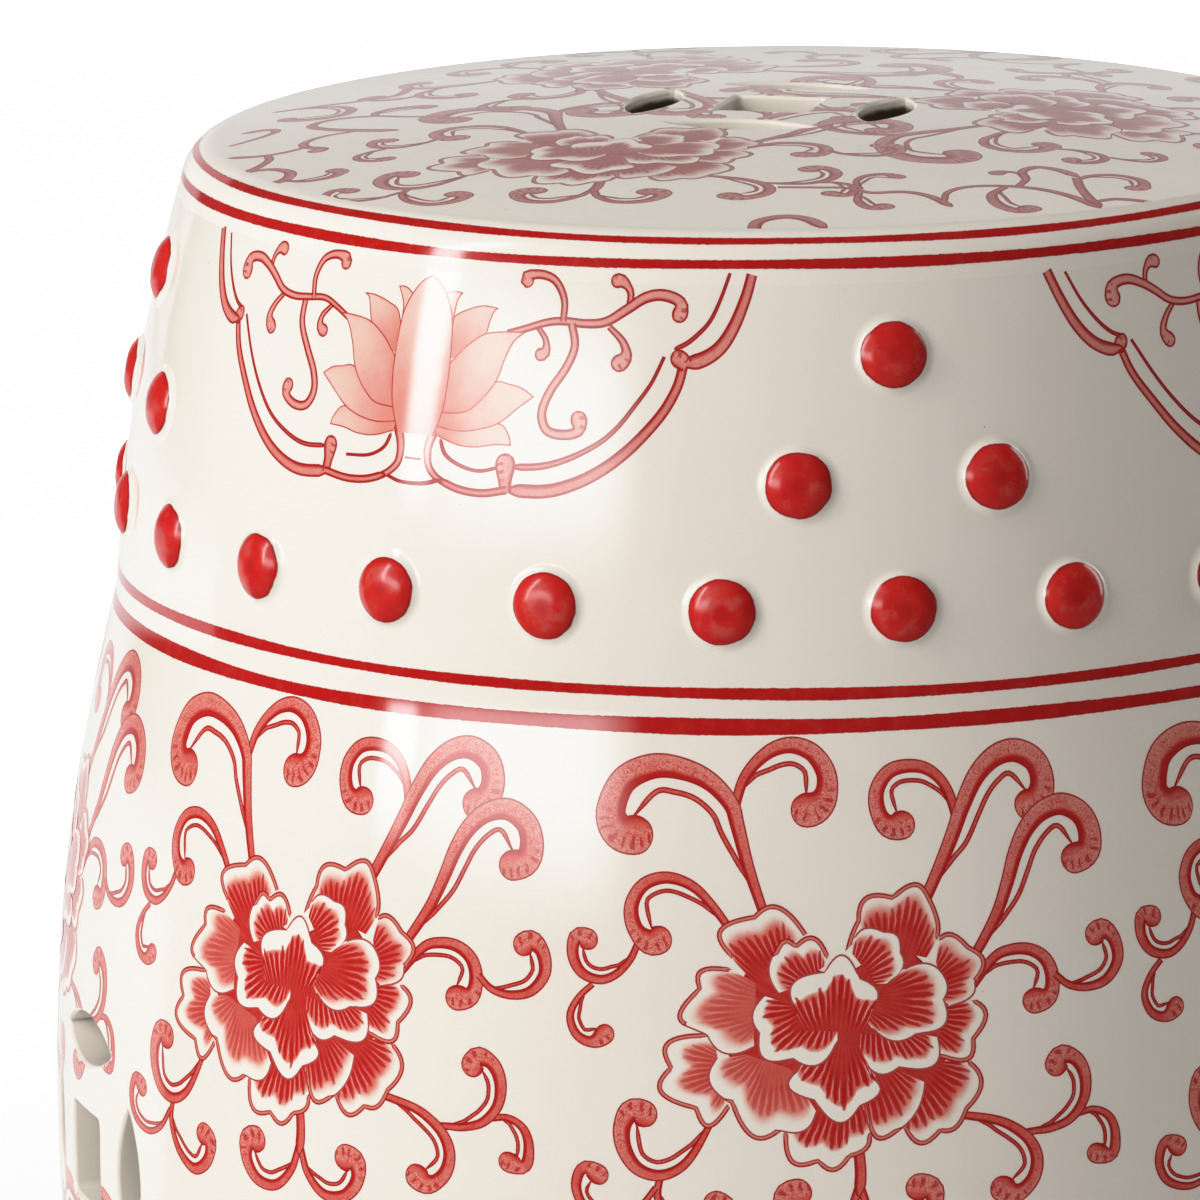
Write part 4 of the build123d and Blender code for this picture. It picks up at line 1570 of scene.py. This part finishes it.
    def lip(self, sheet: Sheet, loop: list[Spot], outer: Placer,
            inner: Placer, thin: bool = False) -> None:
        """Rolls the glaze over one opening's edge and down through the clay.

        Args:
            sheet: where the faces go.
            loop: the opening's outline and outward directions.
            outer: gives the spot of a place on the outer face.
            inner: gives the spot of a place on the inner face.
            thin: whether the wall down inside gets painted shade.
        """
        rings = []
        for step in range(self.lip_steps + 1):
            turn = math.pi / 2 * step / self.lip_steps
            ring = []
            for point, out in loop:
                place = point + out * COIN.lip * (1 - math.sin(turn))
                spot, normal = outer(place.x, place.y)
                beside = outer(place.x + out.x * 0.2, place.y + out.y * 0.2)[0]
                away = (beside - spot).normalized()
                rolled = spot - normal * COIN.lip * (1 - math.cos(turn))
                ring.append(sheet.add((rolled, normal * math.cos(turn) - away * math.sin(turn))))
            rings.append(ring)
        foot = [inner(point.x, point.y)[0] for point, _ in loop]
        for part in (0.12, 0.26, 0.45, 0.7, 1.0):
            ring = []
            for n, end in zip(rings[self.lip_steps], foot):
                start = sheet.points[n]
                # Painted shade: depth below the lip, kept only in the shaded leaves.
                down = COIN.lip + (end - start).length * part if thin else 0.0
                ring.append(sheet.add((start.lerp(end, part), sheet.normals[n]), marks={"down": down}))
            rings.append(ring)
        sheet.quads(rings, 0, True)

    def ring(self, sheet: Sheet, row: Row, marks: Marks = UNMARKED) -> list[int]:
        """The points of one row all round the stool."""
        turns = [math.radians(360 * n / self.columns) for n in range(self.columns)]
        return [sheet.add(turned(row, t), marks=marks) for t in turns]

    def circle(self, reach: float) -> list[Pair]:
        """Places round the seat's middle, seen from above."""
        turns = [math.radians(360 * n / self.columns) for n in range(self.columns)]
        return [(reach * math.sin(t), -reach * math.cos(t)) for t in turns]

    def rounds(self, sheet: Sheet, place: Placer, far: float, count: int) -> list[list[int]]:
        """Rings of points on one face of the seat, from its pierced patch out.

        Args:
            sheet: where the points go.
            place: gives the spot of a place seen from above.
            far: the last ring's radius.
            count: how many steps lead out to it.
        Returns:
            The points' numbers, ring by ring.
        """
        reaches = [self.seat_patch + (far - self.seat_patch) * step / count for step in range(count + 1)]
        return [[sheet.add(place(*spot)) for spot in self.circle(reach)] for reach in reaches]

    def seat(self) -> bpy.types.Object:
        """The domed seat with its rounded rim and the coin pierced through it."""
        sheet = Sheet("glazed_seat")
        rows = self.rounds(sheet, FORM.seat_spot, self.seat_edge, 14)
        rim = [row for row in FORM.outline if row[0] > self.seat_edge + 0.5 and row[1] > self.seam_z]
        rows += [self.ring(sheet, row) for row in (*rim, FORM.outline_at(self.seam_z))]
        sheet.quads(rows, 0, True)
        under_r = FORM.radius(self.seam_z) - 2 * FORM.wall - self.lute
        sheet.quads(self.rounds(sheet, self.under_spot, under_r, 8), 1, True)
        low, ease, far = self.seam_z - self.skirt, self.skirt_round, under_r + self.skirt
        lip = ((under_r, self.seam_z, -1, 0), (under_r, low + ease, -1, -0.2), (under_r + ease, low, -0.3, -1),
               (far - ease, low, 0.3, -1), (far, low + ease, 1, -0.2), (far, self.seam_z, 1, 0))
        sheet.quads([self.ring(sheet, row) for row in lip], 1, True)
        self.pierce_seat(sheet)
        return sheet.make(SEAT_PALETTE.glaze, PALETTE.hollow)

    def pierce_seat(self, sheet: Sheet) -> None:
        """The seat's middle, above and below, with the coin's openings through it."""
        spin = Matrix.Rotation(math.radians(COIN.seat_turn), 2)
        back = spin.inverted()
        loops = [[(spin @ point, spin @ out) for point, out in loop] for loop in COIN.loops]
        border = self.circle(self.seat_patch)
        steps = range(-10, 11)
        grid = [Vector((x, y)) * self.seat_grid for x in steps for y in steps]
        for grow, place, finish in ((COIN.lip, FORM.seat_spot, 0), (0.0, self.under_spot, 1)):
            inner = [tuple(p) for p in grid
                     if p.length < self.seat_patch - 2 and COIN.gap(*(back @ p)) > grow + self.clear]
            edges = [[tuple(point + out * grow) for point, out in loop] for loop in loops]
            self.fill(sheet, border, inner, edges, place, finish)
        for n, loop in enumerate(loops):
            self.lip(sheet, loop, FORM.seat_spot, self.under_spot, n in self.shaded_leaves)

    def under_spot(self, x: float, y: float) -> Spot:
        """A place on the seat's underside."""
        drop = (x * x + y * y) / (2 * FORM.dome)
        return Vector((x, y, FORM.height - self.seat_thickness - drop)), Vector((0, 0, -1))

    def foot(self) -> bpy.types.Object:
        """The foot, glazed to its heel and bare where it stands, with each row's share of bare clay."""
        sheet = Sheet("bare_foot")
        heel, soft = FORM.foot_rise, self.inner_round
        heel_r = FORM.rim - self.heel_round
        glazed = (self.foot_z, 14.0, 12.0, 10.0, 8.5, heel)
        profile = [((FORM.radius(z), z, 1.0, 0.0), 0.0 if z > heel else 0.15) for z in glazed]
        for step in range(1, 9):
            turn = math.radians(self.heel_sweep * step / 8)
            out, down = math.cos(turn), math.sin(turn)
            row = (heel_r + self.heel_round * out, max(heel - self.heel_round * down, 0.0), out, -down)
            profile.append((row, 0.15 + 0.85 * step / 8))
        inner = FORM.rim - 6.0 - self.tread
        bend = [(math.sin(t), math.cos(t)) for t in (0.4, 0.8, 1.2, 1.57)]
        bare = [(118.0, 0.0, 0.0, -1.0), (inner + soft, 0.0, 0.0, -1.0)]
        bare += [(inner + soft - soft * s, soft - soft * c, -s, -c) for s, c in bend]
        bare += [(inner, self.lip_top - soft, -1.0, 0.0)]
        bare += [(inner + soft - soft * c, self.lip_top - soft + soft * s, -c, s) for s, c in bend]
        bare += [(FORM.radius(self.foot_z) - FORM.wall - self.lute, self.lip_top, 0.0, 1.0)]
        profile += [(row, 1.0) for row in bare]
        sheet.quads([self.ring(sheet, row, {"bare": share}) for row, share in profile], 0, True)
        return sheet.make(PALETTE.foot)


class Shoulder(Enum):
    """One of the two boss bands: its collar's height in mm, and the way its tiers go."""

    UPPER = (345.0, 1)
    LOWER = (112.0, -1)


@dataclass
class BossBand:
    """Drum-nail bosses of one shoulder, each with a foot of pooled glaze, in mm."""

    shoulder: Shoulder
    red_radius: float = 7.25
    cap_rise: float = 2.2
    squareness: float = 3.2
    cove: float = 2.8
    pool: float = 1.75
    tuck: float = 0.03
    row_rise: float = 27.0
    tier_step: float = 26.5
    group_azimuth: float = -9.0
    pair_spread: float = 17.2

    def tiers(self) -> dict[str, list[float]]:
        """Azimuths of the full row, the pairs and the peaks."""
        groups = [self.group_azimuth + 90 * n for n in range(4)]
        return {
            "row": [self.group_azimuth + 15 * n for n in range(24)],
            "pairs": [middle + side * self.pair_spread / 2 for middle in groups for side in (-1, 1)],
            "peaks": groups,
        }

    def profile(self) -> list[tuple[float, float, float]]:
        """Distance from the middle, height and slope of a boss, from its crown to the wall."""
        fall = self.cap_rise * self.squareness / self.red_radius
        steep = math.atan(fall)
        foot = self.cove * (1 - math.cos(steep))
        rows = []
        for step in range(14):
            part = math.sin(math.pi / 2 * step / 13)
            rise = self.cap_rise * (1 - part ** self.squareness)
            rows.append((self.red_radius * part, foot + rise, math.atan(fall * part ** (self.squareness - 1))))
        for step in range(1, 9):
            turn = steep * (1 - step / 8)
            out = self.red_radius + self.cove * (math.sin(steep) - math.sin(turn))
            rows.append((out, self.cove * (1 - math.cos(turn)), turn))
        return rows

    def build(self) -> dict[str, bpy.types.Object]:
        """Makes the band's three pieces, by the name of the node each stands for."""
        collar, way = self.shoulder.value
        name = self.shoulder.name.lower()
        made = {}
        for tier, (kind, azimuths) in enumerate(self.tiers().items()):
            z = collar + way * (self.row_rise + tier * self.tier_step)
            sheet = Sheet(f"{name}_{kind}_bosses")
            for azimuth in azimuths:
                self.boss(sheet, azimuth, z)
            made[f"{name}_boss_{kind}"] = sheet.make(PALETTE.boss)
        return made

    def boss(self, sheet: Sheet, azimuth: float, z: float) -> None:
        """Adds one boss to a sheet, seated on the wall at that azimuth and height."""
        sheet.island += 1
        radius, lean = FORM.wall_at(z)
        rows = []
        for out, rise, steep in self.profile():
            row = []
            for n in range(33):
                turn = 2 * math.pi * n / 32
                right, up = out * math.cos(turn), out * math.sin(turn)
                spot, normal = FORM.wall_spot(azimuth + math.degrees(right / radius), z + up * math.cos(lean))
                side = math.radians(azimuth) + right / radius
                along = Vector((math.cos(side), math.sin(side), 0))
                above = normal.cross(along)
                if above.z < 0:
                    above = -above
                level = along * math.cos(turn) + above * math.sin(turn)
                tilt = level * math.sin(steep) + normal * math.cos(steep)
                sink = self.tuck if out > self.red_radius + self.pool else 0.0
                stretch = out + 0.25 * rise
                flat = (stretch * math.cos(turn), stretch * math.sin(turn))
                row.append(sheet.add((spot + normal * (rise - sink), tilt), flat, {"out": out}))
            rows.append(row)
        sheet.quads(rows)


@dataclass(frozen=True)
class RingLine:
    """A red line drawn round the stool on the wheel, in mm."""

    name: str
    height: float
    width: float
    phase: float
    coat: float = 0.03

    def build(self) -> bpy.types.Object:
        """The line as a thin ring of paint whose width and height wander a little."""
        sheet = Sheet(self.name)
        sheet.island += 1
        rows: list[list[int]] = [[] for _ in range(5)]
        for n in range(481):
            t = 2 * math.pi * n / 480
            waver = 0.10 * math.sin(5 * t + self.phase) + 0.07 * math.sin(13 * t + 2 * self.phase)
            wide = self.width * (1 + waver) / 2
            drift = 0.22 * math.sin(3 * t + self.phase * 3) + 0.12 * math.sin(8 * t + self.phase)
            for k, across in enumerate((-1.0, -0.5, 0.0, 0.5, 1.0)):
                reach = (wide + 0.25) * across
                spot, normal = turned(FORM.outline_at(self.height, drift + reach), t)
                marks = {"edge": wide - abs(reach)}
                rows[k].append(sheet.add((spot + normal * self.coat, normal), (n * 2.0, reach), marks))
        sheet.quads(rows)
        return sheet.make(PALETTE.ring)


# The studio


@dataclass(frozen=True)
class Softbox:
    """A soft studio lamp: degrees round the stool from the camera's side, metres away and up, and its glow."""

    name: str
    turn: float
    away: float
    up: float
    size: Pair
    glow: float
    aim: Triple = (0.0, 0.0, 0.32)
    mirrored: bool = True
    spread: float = 180.0
    feather: Pair = (0.0, 0.0)


@dataclass(frozen=True)
class Studio:
    """Camera, floor and lamps."""

    eye: Triple = (-0.7192, -1.9978, 0.8043)
    right: Triple = (0.94621, -0.32338, -0.01052)
    up: Triple = (0.07838, 0.19756, 0.97715)
    ahead: Triple = (0.31390, 0.92542, -0.21228)
    lens: float = 286.8
    sky: float = 0.08
    middle: Triple = (0.32, 0.95, 0.0)
    fade: Pair = (1.9, 3.2)
    white: float = 3.0
    shoulder: tuple[Pair, ...] = (
        (0.35, 0.35), (0.7, 0.7), (0.9, 0.86), (1.1, 0.94), (1.5, 0.985), (2.2, 1.0))
    air: Triple = (1.0, 0.985, 0.965)
    floor_tones: tuple[Triple, Triple] = ((0.90, 0.90, 0.90), (0.87, 0.87, 0.87))
    backdrop_tones: tuple[Triple, Triple] = ((2.3, 2.3, 2.3), (2.6, 2.6, 2.6))
    floor_half: float = 20.0
    room_half: float = 8.0
    lamps: tuple[Softbox, ...] = (
        Softbox("left_softbox", -43.0, 1.6, 0.69, (1.24, 0.62), 5.2, (0.0, 0.0, 0.7), feather=(0.25, 0.40)),
        Softbox("left_key", -46.5, 1.6, 1.4, (1.0, 1.0), 4.3, mirrored=False),
        Softbox("left_strip", -64.5, 1.6, 1.2, (0.26, 1.7), 13.0, feather=(0.30, 0.15)),
        Softbox("left_back_fill", -100.0, 1.8, 0.9, (0.5, 1.4), 3.1, (0.0, 0.0, 0.3), mirrored=False),
        Softbox("left_low_panel", -146.0, 2.6, -0.68, (3.7, 1.8), 0.85, (0.0, 0.0, -0.7), feather=(0.03, 0.1)),
        Softbox("right_strip", 112.0, 1.5, 0.8, (0.30, 1.4), 4.0),
        Softbox("front_fill", 12.0, 2.4, 1.0, (2.0, 1.6), 0.64, (0.0, 0.0, 0.3), mirrored=False),
        Softbox("top_fill", 0.0, 0.0, 2.4, (1.6, 1.6), 1.0, (0.0, 0.001, 0.4), mirrored=False),
        Softbox("backdrop_light", 180.0, 2.35, 2.4, (4.4, 1.9), 5.0, (0.0, 2.35, 0.0), False, 66.0),
        Softbox("back_panel", 180.0, 3.6, 1.0, (5.0, 2.0), 0.48, (0.0, 0.0, 0.8)),
        Softbox("low_back_panel", 180.0, 3.6, 0.72, (5.0, 1.4), 0.24, (0.0, 0.0, 0.72), feather=(0.05, 0.5)),
    )

    def build(self) -> None:
        """Sets up the camera, the pale floor, the sky and the lamps."""
        lens = bpy.data.cameras.new("photo_camera")
        lens.lens, lens.sensor_width, lens.sensor_fit = self.lens, 36.0, "AUTO"
        lens.clip_start, lens.clip_end = 0.05, 60.0
        camera = bpy.data.objects.new("photo_camera", lens)
        axes = Matrix((self.right, self.up, tuple(-part for part in self.ahead))).transposed().to_4x4()
        camera.matrix_world = Matrix.Translation(self.eye) @ axes
        bpy.context.scene.collection.objects.link(camera)
        bpy.context.scene.camera = camera
        self.develop()
        for lamp in self.lamps:
            self.hang(lamp)
        world = bpy.data.worlds.new("studio_air")
        world.use_nodes = True
        air = world.node_tree.nodes["Background"]
        air.inputs["Color"].default_value = (*self.air, 1.0)
        air.inputs["Strength"].default_value = self.sky
        bpy.context.scene.world = world
        self.floor()

    def develop(self) -> None:
        """Gives the picture a plain contrast with a soft shoulder, so that bright glaze keeps its tone."""
        view = bpy.context.scene.view_settings
        view.view_transform, view.use_curve_mapping = "Standard", True
        mapping = view.curve_mapping
        mapping.white_level = (self.white, self.white, self.white)
        curve = mapping.curves[3]
        curve.points[0].location, curve.points[1].location = (0.0, 0.0), (1.0, 1.0)
        for light, tone in self.shoulder:
            curve.points.new(light / self.white, tone)
        mapping.update()

    def hang(self, lamp: Softbox) -> None:
        """Hangs one lamp, out of the camera's sight."""
        side = Vector((self.right[0], self.right[1], 0)).normalized()
        away = Vector((self.ahead[0], self.ahead[1], 0)).normalized()
        turn = math.radians(lamp.turn)
        light = bpy.data.lights.new(lamp.name, "AREA")
        light.shape, light.size, light.size_y = "RECTANGLE", *lamp.size
        light.energy = lamp.glow * math.pi * lamp.size[0] * lamp.size[1]
        light.spread = math.radians(lamp.spread)
        if any(lamp.feather):
            self.soften(light, lamp.feather)
        holder = bpy.data.objects.new(lamp.name, light)
        holder.visible_camera, holder.visible_glossy = False, lamp.mirrored
        ground = (side * math.sin(turn) - away * math.cos(turn)) * lamp.away
        holder.location = ground + Vector((0, 0, lamp.up))
        goal = side * lamp.aim[0] + away * lamp.aim[1] + Vector((0, 0, lamp.aim[2]))
        holder.rotation_euler = (goal - holder.location).to_track_quat("-Z", "Y").to_euler()
        bpy.context.scene.collection.objects.link(holder)

    def soften(self, light: bpy.types.Light, feather: Pair) -> None:
        """Lets a lamp fade over those shares of its width and height at each edge."""
        recipe = Recipe(light.name, light)
        face = recipe.node("ShaderNodeNewGeometry", {}, {}, "Parametric")
        glow = None
        for axis, share in enumerate(feather):
            along = recipe.node("ShaderNodeSeparateXYZ", {}, {0: face}, axis)
            fade = along.ramp(0.0, share) * (1 - along.ramp(1 - share, 1.0))
            glow = fade if glow is None else glow * fade
        colour = recipe.mix((0.0, 0.0, 0.0), (1.0, 1.0, 1.0), glow)
        shone = recipe.node("ShaderNodeEmission", {}, {"Color": colour, "Strength": 1.0})
        recipe.close(shone, "ShaderNodeOutputLight")

    def floor(self) -> None:
        """A faintly mottled pale floor that fades into a white backdrop, both kept out of reflections."""
        recipe = Recipe("pale_floor")
        tone = recipe.mix(*self.floor_tones, recipe.noise(0.004, 3.0))
        paint = recipe.node("ShaderNodeBsdfPrincipled", {}, {"Base Color": tone, "Roughness": 0.7})
        clear = recipe.node("ShaderNodeBsdfTransparent", {}, {})
        feeds = {0: recipe.place, 1: self.middle}
        away = recipe.node("ShaderNodeVectorMath", {"operation": "DISTANCE"}, feeds, "Value")
        recipe.close(recipe.node("ShaderNodeMixShader", {}, {0: away.ramp(*self.fade), 1: paint, 2: clear}))
        wide = self.floor_half
        corners = [(-wide, -wide, 0), (wide, -wide, 0), (wide, wide, 0), (-wide, wide, 0)]
        self.stand("studio_floor", corners, [(0, 1, 2, 3)], recipe)
        glow = Recipe("white_backdrop")
        tone = glow.mix(*self.backdrop_tones, glow.noise(0.0005, 2.0))
        glow.close(glow.node("ShaderNodeEmission", {}, {"Color": tone, "Strength": 1.0}))
        ends = (-self.room_half, self.room_half)
        corners = [(x, y, z) for x in ends for y in ends for z in ends]
        sides = [(0, 1, 3, 2), (4, 6, 7, 5), (0, 4, 5, 1), (2, 3, 7, 6), (0, 2, 6, 4), (1, 5, 7, 3)]
        room = self.stand("studio_backdrop", corners, sides, glow)
        room.visible_diffuse = room.visible_shadow = room.visible_transmission = False

    def stand(self, name: str, corners: Sequence[Triple], sides: Sequence[Sequence[int]],
              recipe: Recipe) -> bpy.types.Object:
        """Stands one plain-sided thing in the studio.

        Args:
            name: what to call it.
            corners: its corners, in metres.
            sides: its faces, as numbers of corners.
            recipe: its material.
        Returns:
            The object.
        """
        mesh = bpy.data.meshes.new(name)
        mesh.from_pydata(corners, [], sides)
        mesh.materials.append(recipe.material)
        made = bpy.data.objects.new(name, mesh)
        made.visible_glossy = False
        bpy.context.scene.collection.objects.link(made)
        return made


@dataclass
class GardenStool:
    """The whole stool: clay, bosses, lines, panels and sprays."""

    spray_azimuth: float = -15.2
    spray_height: float = 287.3
    lower_spray_height: float = 166.0
    panel_azimuth: float = -53.2
    panel_height: float = 420.0
    seat_azimuth: float = -53.5
    seat_reach: float = 63.4
    seat_twist: float = 22.5
    rim_azimuth: float = -18.8
    spray: PeonySpray = field(default_factory=PeonySpray)
    panel: LotusPanel = field(default_factory=LotusPanel)
    panel_girth: float = 138.0
    ring_lines: tuple[Pair, ...] = ((448.6, 2.1), (443.8, 2.2), (354.7, 2.4), (347.6, 3.2))

    def place(self, piece: bpy.types.Object, slot: str, *nodes: str) -> None:
        """Rides a piece on the stool, hides the nodes it stands for, and reports it."""
        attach(piece, "root")
        if nodes:
            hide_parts(*nodes)
        LOG.info("%s: %d faces", piece.name, len(piece.data.polygons))

    def paint(self, piece: bpy.types.Object) -> None:
        """Places a piece that is red paint on the glaze, too thin to cast a shadow."""
        piece.visible_shadow = False
        self.place(piece, "red_boss_glaze")

    def build(self) -> None:
        """Makes and places every piece."""
        shell = GlazedShell()
        self.place(shell.barrel(), "cream_glaze", "barrel_wall")
        self.place(shell.seat(), "cream_glaze", "seat_top")
        self.place(shell.foot(), "bare_biscuit", "foot_ring")
        for shoulder in Shoulder:
            for node, piece in BossBand(shoulder).build().items():
                self.place(piece, "red_boss_glaze", node)
        for n, (height, width) in enumerate(self.ring_lines):
            self.paint(RingLine(f"upper_ring_{n + 1}", height, width, 0.7 + n).build())
            self.paint(RingLine(f"lower_ring_{n + 1}", FORM.height - height, width, 4.1 + n).build())
        panels = (("upper", self.panel_height, 1), ("lower", FORM.height - self.panel_height, -1))
        for n in range(4):
            for name, height, up in panels:
                chart = WallChart(self.panel_azimuth + 90 * n, height, self.panel_girth, up)
                self.paint(self.panel.lotus(f"{name}_lotus_{n + 1}", chart))
                self.paint(self.panel.frame(f"{name}_panel_{n + 1}", chart))
        sprays = (("upper", 0.0, self.spray_height), ("lower", 22.5, self.lower_spray_height))
        for n in range(8):
            for name, turn, height in sprays:
                self.bloom(name, n, WallChart(self.spray_azimuth + turn + 45 * n, height))
        for n in range(3):
            self.bloom("seat", n, SeatChart(self.seat_azimuth + 120 * n, self.seat_reach, self.seat_twist))
        edges = (("seat_rim_scroll_1", RIM_SCROLL, 0), ("seat_rim_scroll_2", RIM_SCROLL, 120),
                 ("seat_rim_sprig", RIM_SPRIG, 0))
        for name, scroll, turn in edges:
            self.paint(scroll.build(name, SeatChart(self.rim_azimuth + turn)))

    def bloom(self, where: str, n: int, chart: Chart) -> None:
        """Paints one peony spray."""
        self.paint(self.spray.scrolls(f"{where}_scrolls_{n + 1}", chart))
        self.paint(self.spray.head(f"{where}_peony_{n + 1}", chart))


def main() -> None:
    """Builds the stool and the studio."""
    logging.basicConfig(level=logging.INFO, format="%(name)s %(message)s")
    GardenStool().build()
    Studio().build()
    bpy.context.view_layer.update()


if __name__ == "__main__":
    main()
